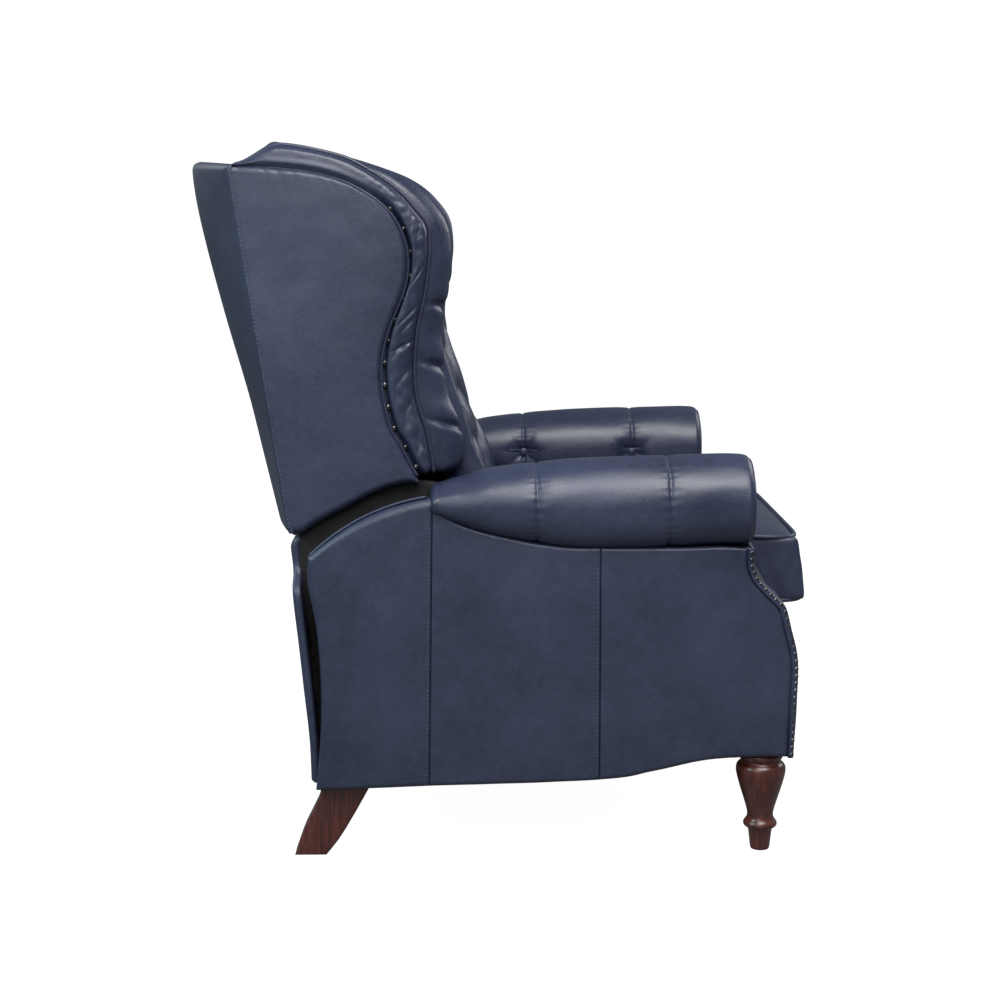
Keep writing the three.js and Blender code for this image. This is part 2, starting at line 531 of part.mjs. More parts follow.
// The inside back: a thick pad from behind the seat up and over the crest.
const insideBack = outline([500, high(0.937)], [[492, high(0.958)], [450, high(0.988)],
  [380, high(1)], [310, high(0.975)], [255, high(0.905)], [215, high(0.825)], [150, high(0.70)],
  [100, high(0.56)], [88, high(0.50)], [72, high(0.379)], [44, high(0.249)], [5, high(0.076)],
  [-3, WING_BOTTOM], [-4, CUSHION_BASE + 17]],
[110, CUSHION_BASE + 17], [[118, high(0.076)], [158, high(0.249)], [187, high(0.379)],
  [205, high(0.52)], [252, high(0.72)], [283, high(0.84)], [296, high(0.896)]],
[398, high(0.896)], [402, high(0.937)]);
const planCut = new THREE.Shape();
planCut.moveTo(-seatHalf, CUSHION_FRONT);
planCut.lineTo(seatHalf, CUSHION_FRONT);
for (let x = seatHalf; x >= -seatHalf; x -= SEAT_WIDTH / 8) {
  planCut.lineTo(x, seamTop[0] + bulge(x, seamTop[1]));
}
const planPrism = new THREE.ExtrudeGeometry(planCut, { depth: 2 * BACK_RISE, bevelEnabled: false })
  .translate(0, 0, CUSHION_BASE - 10);
add('inside_back_pad', toGeometry(
  solid(slab(insideBack, -cushionHalf, cushionHalf)).intersect(solid(planPrism))), LEATHER);

export default chair;
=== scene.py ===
# Push-back wing recliner: the leather, wood and metal that show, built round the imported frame.
import json
import math

import bmesh
import bpy
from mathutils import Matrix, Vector, noise


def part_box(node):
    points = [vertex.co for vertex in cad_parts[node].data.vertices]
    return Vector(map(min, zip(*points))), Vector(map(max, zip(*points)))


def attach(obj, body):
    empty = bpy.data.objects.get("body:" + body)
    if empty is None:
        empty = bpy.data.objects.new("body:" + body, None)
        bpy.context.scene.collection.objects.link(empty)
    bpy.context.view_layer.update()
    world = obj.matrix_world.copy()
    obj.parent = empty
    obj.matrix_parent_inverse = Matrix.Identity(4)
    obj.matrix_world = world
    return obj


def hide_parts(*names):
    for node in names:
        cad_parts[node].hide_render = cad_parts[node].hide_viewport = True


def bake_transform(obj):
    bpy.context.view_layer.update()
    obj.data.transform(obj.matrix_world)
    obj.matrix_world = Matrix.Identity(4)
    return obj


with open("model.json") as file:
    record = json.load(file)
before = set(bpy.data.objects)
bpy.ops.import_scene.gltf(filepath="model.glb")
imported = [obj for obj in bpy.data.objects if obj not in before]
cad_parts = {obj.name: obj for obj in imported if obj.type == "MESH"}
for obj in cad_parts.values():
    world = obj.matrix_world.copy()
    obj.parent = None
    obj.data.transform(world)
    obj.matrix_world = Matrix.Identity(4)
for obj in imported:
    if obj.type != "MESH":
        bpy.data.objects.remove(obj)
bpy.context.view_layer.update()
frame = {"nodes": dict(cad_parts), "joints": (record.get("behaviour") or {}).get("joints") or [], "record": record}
nodes = frame["nodes"]
scene = bpy.context.scene
MM = 0.001
TAU = 2 * math.pi

# ---------------------------------------------------------------- places taken from the frame
arm_low, arm_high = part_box("outside_arm_left")
roll_low, roll_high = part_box("arm_roll_left")
wing_low, wing_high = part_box("outside_wing_left")
cushion_low, cushion_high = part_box("seat_cushion")
back_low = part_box("inside_back_pad")[0]
shell_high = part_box("outside_back")[1]
flap_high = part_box("rear_panel")[1]
foot_low, foot_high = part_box("footrest_pad")
inside_low, inside_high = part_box("inside_arm_left")
ARM_OUT, ARM_IN = arm_high.x, arm_low.x
ARM_FRONT = arm_low.y + MM           # straight part of the arm's front edge
SEAT_HALF = inside_low.x
WING_OUT = wing_high.x
WING_IN = wing_low.x
WING_BOTTOM = wing_low.z


# ---------------------------------------------------------------- curves and surfaces
def mm(points):
    """Points given in millimetres, as vectors in metres."""
    return [Vector(point) * MM for point in points]


class Line:
    """A smooth curve through points, walked by its length from 0 to 1."""

    STEPS = 10

    def __init__(self, points):
        points = [Vector(p) for p in points]
        ends = [2 * points[0] - points[1], *points, 2 * points[-1] - points[-2]]
        self.dense = []
        for p0, p1, p2, p3 in zip(ends, ends[1:], ends[2:], ends[3:]):
            for step in range(self.STEPS):
                t = step / self.STEPS
                bend = (2 * p0 - 5 * p1 + 4 * p2 - p3) * t * t + (3 * p1 - p0 - 3 * p2 + p3) * t**3
                self.dense.append(0.5 * (2 * p1 + (p2 - p0) * t + bend))
        self.dense.append(points[-1])
        self.run = [0.0]
        for a, b in zip(self.dense, self.dense[1:]):
            self.run.append(self.run[-1] + (b - a).length)
        self.length = self.run[-1]

    def at(self, t):
        target = min(max(t, 0.0), 1.0) * self.length
        low, high = 0, len(self.run) - 1
        while high - low > 1:
            middle = (low + high) // 2
            if self.run[middle] <= target:
                low = middle
            else:
                high = middle
        span = self.run[high] - self.run[low]
        return self.dense[low].lerp(self.dense[high], (target - self.run[low]) / span if span else 0)

    def spread(self, count):
        return [self.at(i / (count - 1)) for i in range(count)]

    def outward(self, t):
        """The direction at right angles to the curve, to the left of the way it runs."""
        ahead = self.at(t + 0.01) - self.at(t - 0.01)
        return Vector((-ahead.y, ahead.x)).normalized()


def straight(a, b):
    return Line([a, a.lerp(b, 0.5), b])


def stretch(line, start, end):
    """The part of a curve between two shares of its length."""
    return Line([line.at(start + (end - start) * i / 30) for i in range(31)])


def share_at(line, y):
    """How far along a curve its first coordinate passes y."""
    return min((abs(line.at(i / 600).x - y), i / 600) for i in range(601))[1]


def coons(bottom, top, start, end):
    """A flat patch between four edges that meet at its corners, as a function of u and v."""
    corner = [bottom.at(0), bottom.at(1), top.at(0), top.at(1)]

    def place(u, v):
        across = bottom.at(u) * (1 - v) + top.at(u) * v
        along = start.at(v) * (1 - u) + end.at(v) * u
        flat = (corner[0] * (1 - u) + corner[1] * u) * (1 - v) + (corner[2] * (1 - u) + corner[3] * u) * v
        return across + along - flat

    return place


def eased(t, share=0.5):
    """Draws even steps towards both ends, where an edge rolls over."""
    return t + share * (-math.sin(TAU * t)) / TAU


def rolled(distance, radius):
    """How far a surface has turned in at a distance from its edge."""
    if distance >= radius:
        return 0.0
    return radius - math.sqrt(max(0.0, radius**2 - (radius - distance) ** 2))


def bump(x, width):
    """One smooth hump, 1 at its top and gone at about twice its width."""
    return math.exp(-((x / width) ** 2))


def ripple(point, size, seed=0.0):
    """Gentle unevenness between -1 and 1, with swells about one size apart."""
    return noise.noise(Vector((point[0] + seed, point[1] - seed, point[2] + 2 * seed)) / size)


def grid(columns, rows, place):
    """A sheet of quads, each corner put at place(u, v) with u and v from 0 to 1."""
    bm = bmesh.new()
    bmesh.ops.create_grid(bm, x_segments=columns, y_segments=rows, size=0.5)
    for vert in bm.verts:
        vert.co = place(vert.co.x + 0.5, vert.co.y + 0.5)
    return bm


def fill_holes(bm):
    bmesh.ops.holes_fill(bm, edges=[e for e in bm.edges if e.is_boundary], sides=0)


def sew_shut(bm):
    """Joins a sheet that wraps round to its own first edge, and fills its ends."""
    bmesh.ops.remove_doubles(bm, verts=bm.verts, dist=0.02 * MM)
    fill_holes(bm)


def close_back(bm, flatten):
    """Turns a sheet's open edges back to flatten(point) and fills the face between them."""
    edges = [e for e in bm.edges if e.is_boundary]
    made = bmesh.ops.extrude_edge_only(bm, edges=edges)["geom"]
    for vert in [g for g in made if isinstance(g, bmesh.types.BMVert)]:
        vert.co = flatten(vert.co)
    fill_holes(bm)


def two_sided(columns, rows, front, back):
    """A closed piece between a front and a back sheet of as many quads."""
    bm = grid(columns, rows, front)
    other = grid(columns, rows, back)
    mesh = bpy.data.meshes.new("back_sheet")
    other.to_mesh(mesh)
    other.free()
    bm.from_mesh(mesh)
    bpy.data.meshes.remove(mesh)
    bmesh.ops.bridge_loops(bm, edges=[e for e in bm.edges if e.is_boundary])
    return bm


def soften(bm, amount, size, seed=0.0):
    """Hand-worked unevenness: moves each point a little along its normal."""
    bm.normal_update()
    moves = [(v, v.normal * amount * ripple(v.co, size, seed)) for v in bm.verts]
    for vert, move in moves:
        vert.co += move


def add_object(name, bm, material=None):
    """Turns a finished bmesh into a smooth-shaded object in the scene."""
    mesh = bpy.data.meshes.new(name)
    bm.to_mesh(mesh)
    bm.free()
    if material:
        mesh.materials.append(material)
        mesh.shade_smooth()
    made = bpy.data.objects.new(name, mesh)
    scene.collection.objects.link(made)
    return made


def piece(name, bm, material, body, stands_for=()):
    """Adds a piece to a moving body, in place of the plain nodes that it stands for."""
    bmesh.ops.recalc_face_normals(bm, faces=bm.faces)
    made = add_object(name, bm, material)
    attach(made, body)
    if stands_for:
        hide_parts(*stands_for)
    return made


def cord_mesh(points, radius, closed=False, sides=4):
    """A round tube along points, as a mesh."""
    curve = bpy.data.curves.new("tube", "CURVE")
    curve.dimensions = "3D"
    curve.bevel_depth = radius
    curve.bevel_resolution = sides
    curve.use_fill_caps = not closed
    spline = curve.splines.new("POLY")
    spline.points.add(len(points) - 1)
    for spot, point in zip(spline.points, points):
        spot.co = (*point, 1)
    spline.use_cyclic_u = closed
    holder = bpy.data.objects.new("tube", curve)
    scene.collection.objects.link(holder)
    mesh = bpy.data.meshes.new_from_object(holder)
    bpy.data.objects.remove(holder)
    bpy.data.curves.remove(curve)
    bm = bmesh.new()
    bm.from_mesh(mesh)
    bpy.data.meshes.remove(mesh)
    bmesh.ops.remove_doubles(bm, verts=bm.verts, dist=1e-6)
    return bm


def piping(name, points, body, radius=3 * MM, closed=False):
    return piece(name, cord_mesh(points, radius, closed), leather, body)


# ---------------------------------------------------------------- materials
def new_group(name, inputs, outputs):
    group = bpy.data.node_groups.new(name, "ShaderNodeTree")
    for socket, kind, default in inputs:
        made = group.interface.new_socket(socket, in_out="INPUT", socket_type=f"NodeSocket{kind}")
        if default is not None:
            made.default_value = default
    for socket, kind in outputs:
        group.interface.new_socket(socket, in_out="OUTPUT", socket_type=f"NodeSocket{kind}")
    return group, group.nodes.new("NodeGroupInput"), group.nodes.new("NodeGroupOutput")


def wire(tree, source, target):
    tree.links.new(source, target)


def math_node(tree, operation, a, b):
    node = tree.nodes.new("ShaderNodeMath")
    node.operation = operation
    for socket, value in zip(node.inputs, (a, b)):
        if isinstance(value, (int, float)):
            socket.default_value = value
        else:
            wire(tree, value, socket)
    return node.outputs[0]


def noise_node(tree, vector, scale, detail=3.0, roughness=0.5):
    node = tree.nodes.new("ShaderNodeTexNoise")
    node.inputs["Detail"].default_value = detail
    node.inputs["Roughness"].default_value = roughness
    wire(tree, vector, node.inputs["Vector"])
    if isinstance(scale, (int, float)):
        node.inputs["Scale"].default_value = scale
    else:
        wire(tree, scale, node.inputs["Scale"])
    return node.outputs["Fac"]


def make_grain():
    """Hide grain: pebbles, pores and long soft creases, as one height."""
    tree, enter, leave = new_group(
        "hide_grain",
        [("Vector", "Vector", None), ("Pebbles", "Float", 620.0), ("Creases", "Float", 0.5)],
        [("Height", "Float"), ("Pores", "Float")],
    )
    cells = tree.nodes.new("ShaderNodeTexVoronoi")
    cells.feature = "SMOOTH_F1"
    wire(tree, enter.outputs["Vector"], cells.inputs["Vector"])
    wire(tree, enter.outputs["Pebbles"], cells.inputs["Scale"])
    fine = noise_node(tree, enter.outputs["Vector"], 1500.0)
    long = noise_node(tree, enter.outputs["Vector"], 38.0, 5.0, 0.62)
    pebbles = math_node(tree, "MULTIPLY", cells.outputs["Distance"], -0.9)
    skin = math_node(tree, "ADD", pebbles, math_node(tree, "MULTIPLY", fine, 0.35))
    folds = math_node(tree, "MULTIPLY", math_node(tree, "MULTIPLY", long, 5.0), enter.outputs["Creases"])
    wire(tree, math_node(tree, "ADD", skin, folds), leave.inputs["Height"])
    wire(tree, cells.outputs["Distance"], leave.inputs["Pores"])
    return tree


def make_tone():
    """Dye that lies unevenly: a slow drift between two colours, and a gloss that follows it."""
    tree, enter, leave = new_group(
        "hide_tone",
        [("Vector", "Vector", None), ("Deep", "Color", None), ("Pale", "Color", None),
         ("Gloss", "Float", 0.4), ("Spread", "Float", 0.1)],
        [("Color", "Color"), ("Roughness", "Float")],
    )
    cloud = noise_node(tree, enter.outputs["Vector"], 5.0, 6.0, 0.6)
    speck = noise_node(tree, enter.outputs["Vector"], 90.0, 2.0, 0.5)
    both = math_node(tree, "ADD", math_node(tree, "MULTIPLY", cloud, 0.75),
                     math_node(tree, "MULTIPLY", speck, 0.25))
    ramp = tree.nodes.new("ShaderNodeMapRange")
    ramp.inputs["From Min"].default_value = 0.34
    ramp.inputs["From Max"].default_value = 0.66
    wire(tree, both, ramp.inputs["Value"])
    mix = tree.nodes.new("ShaderNodeMix")
    mix.data_type = "RGBA"
    wire(tree, ramp.outputs["Result"], mix.inputs["Factor"])
    # Asked for by name, A, B and Result give the float sockets; these are the colour ones.
    colour_a, colour_b, colour_out = mix.inputs[6], mix.inputs[7], mix.outputs[2]
    wire(tree, enter.outputs["Deep"], colour_a)
    wire(tree, enter.outputs["Pale"], colour_b)
    wire(tree, colour_out, leave.inputs["Color"])
    swing = math_node(tree, "MULTIPLY", math_node(tree, "SUBTRACT", both, 0.5), enter.outputs["Spread"])
    wire(tree, math_node(tree, "ADD", enter.outputs["Gloss"], swing), leave.inputs["Roughness"])
    return tree


def base_material(name):
    """A new material, its node tree, its main shader and the Object coordinates."""
    material = bpy.data.materials.new(name)
    material.use_nodes = True
    tree = material.node_tree
    shader = next(n for n in tree.nodes if n.type == "BSDF_PRINCIPLED")
    place = tree.nodes.new("ShaderNodeTexCoord").outputs["Object"]
    return material, tree, shader, place


def use_group(tree, group, **values):
    node = tree.nodes.new("ShaderNodeGroup")
    node.node_tree = group
    for socket, value in values.items():
        if isinstance(value, bpy.types.NodeSocket):
            wire(tree, value, node.inputs[socket])
        else:
            node.inputs[socket].default_value = value
    return node


def add_bump(tree, shader, height, strength, distance):
    node = tree.nodes.new("ShaderNodeBump")
    node.inputs["Strength"].default_value = strength
    node.inputs["Distance"].default_value = distance
    wire(tree, height, node.inputs["Height"])
    wire(tree, node.outputs["Normal"], shader.inputs["Normal"])


def leather_material(name, deep, pale, gloss, creases=0.5):
    material, tree, shader, place = base_material(name)
    tone = use_group(tree, TONE, Vector=place, Deep=deep, Pale=pale, Gloss=gloss, Spread=0.35)
    wire(tree, tone.outputs["Color"], shader.inputs["Base Color"])
    wire(tree, tone.outputs["Roughness"], shader.inputs["Roughness"])
    skin = use_group(tree, GRAIN, Vector=place, Pebbles=620.0, Creases=creases)
    add_bump(tree, shader, skin.outputs["Height"], 0.4, 0.0005)
    shader.inputs["Coat Weight"].default_value = 0.10
    shader.inputs["Coat Roughness"].default_value = 0.34
    return material


def wood_material():
    """Cherry stain on a close grain that runs up the leg, under satin lacquer."""
    material, tree, shader, place = base_material("cherry_stain")
    stretch = tree.nodes.new("ShaderNodeMapping")
    stretch.inputs["Scale"].default_value = (1.0, 1.0, 0.09)
    wire(tree, place, stretch.inputs["Vector"])
    figure = noise_node(tree, stretch.outputs["Vector"], 160.0, 6.0, 0.65)
    ramp = tree.nodes.new("ShaderNodeValToRGB")
    ramp.color_ramp.elements[0].position = 0.32
    ramp.color_ramp.elements[0].color = (0.028, 0.0055, 0.0040, 1)
    ramp.color_ramp.elements[1].position = 0.70
    ramp.color_ramp.elements[1].color = (0.118, 0.027, 0.019, 1)
    wire(tree, figure, ramp.inputs["Fac"])
    wire(tree, ramp.outputs["Color"], shader.inputs["Base Color"])
    wire(tree, math_node(tree, "ADD", 0.26, math_node(tree, "MULTIPLY", figure, 0.18)),
         shader.inputs["Roughness"])
    add_bump(tree, shader, figure, 0.25, 0.0003)
    shader.inputs["Coat Weight"].default_value = 0.25
    shader.inputs["Coat Roughness"].default_value = 0.16
    return material


def cloudy_material(name, dark, light, gloss, metallic=1.0, size=260.0):
    """Metal, thread, plastic or the near-black painted-shade sheet, drifting between two colours."""
    material, tree, shader, place = base_material(name)
    tone = use_group(tree, TONE, Vector=place, Deep=dark, Pale=light, Gloss=gloss, Spread=0.5)
    wire(tree, tone.outputs["Color"], shader.inputs["Base Color"])
    wire(tree, tone.outputs["Roughness"], shader.inputs["Roughness"])
    shader.inputs["Metallic"].default_value = metallic
    add_bump(tree, shader, noise_node(tree, place, size, 4.0), 0.15, 0.0002)
    return material


def ply_material():
    """Bare ply: pale faces with stretched grain."""
    material, tree, shader, place = base_material("bare_ply")
    stretch = tree.nodes.new("ShaderNodeMapping")
    stretch.inputs["Scale"].default_value = (1.0, 0.12, 1.0)
    wire(tree, place, stretch.inputs["Vector"])
    figure = noise_node(tree, stretch.outputs["Vector"], 70.0, 6.0, 0.6)
    ramp = tree.nodes.new("ShaderNodeValToRGB")
    ramp.color_ramp.elements[0].color = (0.25, 0.15, 0.075, 1)
    ramp.color_ramp.elements[1].color = (0.56, 0.40, 0.23, 1)
    wire(tree, figure, ramp.inputs["Fac"])
    wire(tree, ramp.outputs["Color"], shader.inputs["Base Color"])
    shader.inputs["Roughness"].default_value = 0.7
    add_bump(tree, shader, figure, 0.2, 0.0004)
    return material


GRAIN = make_grain()
TONE = make_tone()
NAVY_DEEP = (0.0145, 0.0190, 0.0430, 1)
NAVY_PALE = (0.0310, 0.0375, 0.0760, 1)
leather = leather_material("navy_hide", NAVY_DEEP, NAVY_PALE, 0.44)
soft_leather = leather_material("navy_hide_soft", NAVY_DEEP, NAVY_PALE, 0.40, 0.7)
cherry = wood_material()
nail_metal = cloudy_material("antique_nail", (0.030, 0.029, 0.029, 1), (0.20, 0.195, 0.19, 1), 0.28,
                             size=900.0)
thread = cloudy_material("sewing_thread", (0.050, 0.060, 0.095, 1), (0.10, 0.115, 0.16, 1), 0.7, 0.0)
# Near-black painted shade: a sheet coloured to stand in for the shadow deep in the arm's hollow.
painted_shade_sheet = cloudy_material("painted_shade_black", (0.0025, 0.0025, 0.003, 1), (0.006, 0.006, 0.007, 1), 0.9,
                               0.0, 1500.0)
black_steel = cloudy_material("black_steel", (0.018, 0.018, 0.02, 1), (0.05, 0.05, 0.053, 1), 0.42, 0.8)
wire_steel = cloudy_material("spring_wire", (0.28, 0.29, 0.3, 1), (0.5, 0.5, 0.5, 1), 0.3)
white_nylon = cloudy_material("white_nylon", (0.6, 0.59, 0.55, 1), (0.78, 0.77, 0.72, 1), 0.5, 0.0)
bare_ply = ply_material()


def dress_frame():
    """The frame's own parts that stay in sight take their real finish."""
    finishes = {"plywood": bare_ply, "steel": black_steel, "spring_wire": wire_steel,
                "nylon": white_nylon, "cherry_wood": cherry, "leather": leather}
    for part in frame["record"]["subparts"]:
        shown = nodes[part["node"]]
        shown.data.materials.clear()
        shown.data.materials.append(finishes[part["material_slot"]])


dress_frame()

# ---------------------------------------------------------------- outlines of the arm, in Y and Z
ARC_MIDDLE = Vector((56, 243)) * MM
ARC_RADIUS = 324 * MM
ROLL_UNDER = roll_high.z - 146 * MM
FRONT_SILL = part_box("front_leg_left")[1].z


def arc_point(degrees, inset=0.0):
    angle = math.radians(degrees)
    return ARC_MIDDLE + Vector((math.cos(angle), math.sin(angle))) * (ARC_RADIUS - inset)


def front_edge():
    """The arm's S-shaped front edge, from the floor end up."""
    offsets = [(5, FRONT_SILL / MM), (1, 249), (0, 308), (11, 356), (19, 388), (30, 400), (46, 416),
               (62, 435), (70, 457), (70, 485)]
    return [Vector((ARM_FRONT + y * MM, z * MM)) for y, z in offsets]


under_roll = [Vector((y, ROLL_UNDER / MM + rise)) * MM for y, rise in
              ((97, 86), (90, 70), (76, 57), (48, 43), (13, 32), (-27, 23), (-74, 14), (-138, 9), (-280, 12),
               (-339, 15), (-383, 14))]
arm_rear_edge = mm([(278, 108), (270, 205), (270, 290), (276, 364), (288, 430), (287, 472)])
arm_bottom = mm([(278, 108), (105, 113), (-160, 122), (-240, 134), (-318, 151), (-380, 156), (-451, 157)])
ARM_SEAMS = (0.100, -0.159)


def panel_sheet(side, place, cells, size, faces, edges, puff=2.5 * MM, pucker=None):
    """A stuffed panel: its face swells a little and each of its four edges rolls in by its own radius."""
    (columns, rows), (width, height), (outer, inner) = cells, size, faces
    start, end, low, top = edges

    def point(u, v):
        u, v = eased(u, 0.7), eased(v, 0.7)
        y, z = place(u, v)
        x = outer - max(rolled(u * width, start), rolled((1 - u) * width, end),
                        rolled(v * height, low), rolled((1 - v) * height, top))
        x += puff * (math.sin(math.pi * u) * math.sin(math.pi * v)) ** 0.5
        x += 2.2 * MM * ripple((y, z, side), 0.15) + 0.7 * MM * ripple((y, z, side), 0.045, 3)
        if pucker:
            x += pucker(u * width, (1 - v) * height)
        return Vector((side * x, y, z))

    bm = grid(columns, rows, point)
    close_back(bm, lambda co: Vector((side * inner, co.y, co.z)))
    return bm


def outside_arm(side, hand):
    """Three hides sewn together: behind the arm, under the roll, and out to the nailed front."""
    bottom, roll_line = Line(arm_bottom), Line(under_roll)
    arc = Line([arm_rear_edge[-1], *[arc_point(a) for a in (52, 60, 68, 76, 82.5)]])
    low_cuts = [0, *[share_at(bottom, y) for y in (ARM_SEAMS[0] + 4 * MM, ARM_SEAMS[1])], 1]
    roll_cut = share_at(roll_line, ARM_SEAMS[1])
    tops = [arc, stretch(roll_line, 0, roll_cut), stretch(roll_line, roll_cut, 1)]
    lows = [stretch(bottom, a, b) for a, b in zip(low_cuts, low_cuts[1:])]
    sides = [Line(arm_rear_edge)]
    for low, top in zip(lows, tops[1:]):
        a, b = low.at(1), top.at(0)
        sides.append(Line([a, a.lerp(b, 0.3), a.lerp(b, 0.7), b]))
    sides.append(Line(front_edge()))
    cuts = ((9, 3, 9, 13), (3, 3, 9, 5), (3, 9, 9, 5))
    for index, (edges, name) in enumerate(zip(cuts, ("rear", "middle", "front"))):
        place = coons(lows[index], tops[index], sides[index], sides[index + 1])
        size = (lows[index].length, (sides[index].length + sides[index + 1].length) / 2)
        bm = panel_sheet(side, place, (round(size[0] / 0.0042), 96), size, (ARM_OUT - 1.5 * MM, ARM_IN),
                         [radius * MM for radius in edges])
        piece(f"arm_panel_{name}_{hand}", bm, leather, "base", stands_for=(f"outside_arm_{hand}",))
    for index, name in ((1, "rear"), (2, "middle")):
        run = [Vector((side * (ARM_OUT - 0.2 * MM), p.x + 4.5 * MM, p.y))
               for p in sides[index].spread(int(sides[index].length / 0.0065))]
        stitches(f"arm_stitch_{name}_{hand}", run[3:-4], "base")
    edge = [Vector((side * (ARM_OUT - 5 * MM), p.x - 0.6 * MM, p.y)) for p in Line(front_edge()).spread(70)]
    piping(f"arm_front_piping_{hand}", edge, "base", 1.7 * MM)
    top_edge = Line([arc_point(a, -1.0 * MM) for a in range(45, 84, 3)])
    run = [Vector((side * (ARM_OUT - 12 * MM), p.x, p.y)) for p in top_edge.spread(50)]
    piping(f"arm_arc_piping_{hand}", run, "base", 2.2 * MM)


def stitches(name, run, body):
    """A row of short thread stitches along a run of points."""
    bm = bmesh.new()
    for spot, ahead in zip(run, run[1:]):
        turn = Vector((0, 0, 1)).rotation_difference(ahead - spot).to_matrix()
        for vert in bmesh.ops.create_uvsphere(bm, u_segments=5, v_segments=3, radius=1.0)["verts"]:
            vert.co = spot + turn @ Vector((vert.co.x * 0.65, vert.co.y * 0.65, vert.co.z * 2.2)) * MM
    piece(name, bm, thread, body)


WELL_REACH = 0.284


def arm_well(side, hand):
    """A lining sheet inside the arm's hollow rear, where the wing comes down beside it; its near-black colour is
    painted shade for the deep shadow there.
    """
    pivot = Vector(next(j for j in frame["joints"] if j["name"] == "back_recline")["pos_m"][1:])

    def on_swing(degrees):
        """A point just inside the wing's swing about the recline pivot."""
        angle = math.radians(degrees)
        return pivot + Vector((math.cos(angle), math.sin(angle))) * WELL_REACH

    top = Line([on_swing(a) for a in (58, 66, 78, 92, 106, 116)])
    low = Line(mm([(278, 180), (150, 180), (30, 180)]))
    rear = Line([low.at(0), Vector((0.284, 0.300)), Vector((0.304, 0.430)), top.at(0)])
    place = coons(low, top, rear, straight(low.at(1), top.at(1)))
    bm = panel_sheet(side, place, (40, 40), (0.28, 0.38), (WING_IN - 3 * MM, WING_IN - 19 * MM),
                     (3 * MM,) * 4, 1 * MM)
    # Its near-black colour is painted shade for the shadow in the arm's hollow.
    piece(f"arm_well_painted_shade_{hand}", bm, painted_shade_sheet, "base")


# ---------------------------------------------------------------- arm roll
ROLL_SEAMS = (-0.264, -0.062)
ROLL_MIDDLE = (roll_low.x + roll_high.x) / 2
ROLL_HALF = (roll_high.x - roll_low.x) / 2
roll_under_line = Line(mm([(-382, 484), (-360, 484), (-339, 484), (-260, 480), (-138, 477.5), (-74, 484),
                           (-27, 492), (13, 501), (48, 512), (76, 524), (92, 531)]))
roll_top_line = Line(mm([(-382, 622), (-360, 623), (-319, 623), (-260, 622), (-185, 620), (-121, 616.5),
                         (-62, 612), (-14, 605.5), (17, 600), (46, 591), (66, 586), (92, 578)]))
FRONT_ROUND, REAR_ROUND = 17 * MM, 9 * MM
FRONT_CAP, REAR_CAP = 0.10, 0.93     # shares of the roll's length where its end caps begin
ROLL_RADIUS = 70 * MM               # its usual radius, for measuring round it
ROLL_BUTTON = -0.12                 # where round the inner side a button sits, in radians


def roll_place(u, v):
    """A point on the arm roll: u goes round it from the inner side, v from the front cap to the rear one."""
    cap = max(0.0, 1 - v / FRONT_CAP, (v - REAR_CAP) / (1 - REAR_CAP))
    t = min(1.0, max(0.0, (v - FRONT_CAP) / (REAR_CAP - FRONT_CAP)))
    low, high = roll_under_line.at(t), roll_top_line.at(t)
    y, tall = (low.x + high.x) / 2, (high.y - low.y) / 2
    wide = ROLL_HALF * min(1.0, 0.72 + 0.28 * tall / 0.066)
    ahead, radius = (-1, FRONT_ROUND) if v < 0.5 else (1, REAR_ROUND)
    keep = 1.0
    if cap:
        turn = math.radians(90) * min(1.0, cap * 2)
        keep = 1 - radius / tall * (1 - math.cos(turn))
        y += ahead * radius * math.sin(turn) * (0.7 if v < 0.5 else 1)
        if cap > 0.5:
            keep *= 2 - 2 * cap
            y += ahead * 3 * MM * (1 - keep**2) * (v < 0.5)
    angle = TAU * u
    cosine, sine = math.cos(angle), math.sin(angle)
    power = 2.0 if sine > 0 else 2.5
    reach = (abs(cosine) ** power + abs(sine) ** power) ** (-1 / power)
    pinch = 0.0
    for seam in ROLL_SEAMS:
        away = y - seam
        crimp = 0.5 + 0.5 * math.sin(angle * 34 + 4 * ripple((u * 3, seam, 1), 0.4))
        pinch += 2.4 * MM * bump(away, 2.2 * MM) + 1.6 * MM * bump(away, 13 * MM) * (0.6 + 0.5 * crimp)
        turned = (angle - ROLL_BUTTON + math.pi) % TAU - math.pi
        gap = math.hypot(away, turned * ROLL_RADIUS)
        around = math.atan2(turned * ROLL_RADIUS, away)
        rays = abs(math.sin(3.5 * around + seam * 9)) ** 0.6
        pinch += 13 * MM * bump(gap, 22 * MM) + 2.0 * MM * bump(gap - 16 * MM, 26 * MM) * (1 - rays)
    section = (y, cosine * ROLL_RADIUS, sine * ROLL_RADIUS)
    swell = 1.5 * MM * ripple(section, 0.10, 2) + 0.8 * MM * ripple((y * 0.4, *section[1:]), 0.03, 5)
    scale = keep * (1 - (pinch - swell) / tall * (0 if cap else 1))
    x = ROLL_MIDDLE - wide * cosine * reach * scale
    z = (low.y + high.y) / 2 + tall * sine * reach * scale
    return Vector((x, y, z))


def arm_roll(side, hand):
    """The stuffed roll on top of an arm, with a thin piping round its front end."""
    def point(u, v):
        spot = roll_place(u, v)
        return Vector((side * spot.x, spot.y, spot.z))

    bm = grid(160, 230, point)
    sew_shut(bm)
    piece(f"arm_roll_cover_{hand}", bm, soft_leather, "base", stands_for=(f"arm_roll_{hand}",))
    ring = [point(step / 96, FRONT_CAP * 0.70) for step in range(96)]
    piping(f"arm_roll_piping_{hand}", ring, "base", 1.3 * MM, closed=True)


# ---------------------------------------------------------------- nailed strip down the arm's front
FACE_DEPTH = 7.5 * MM
ARM_NAILS = 31                      # down each edge of the strip


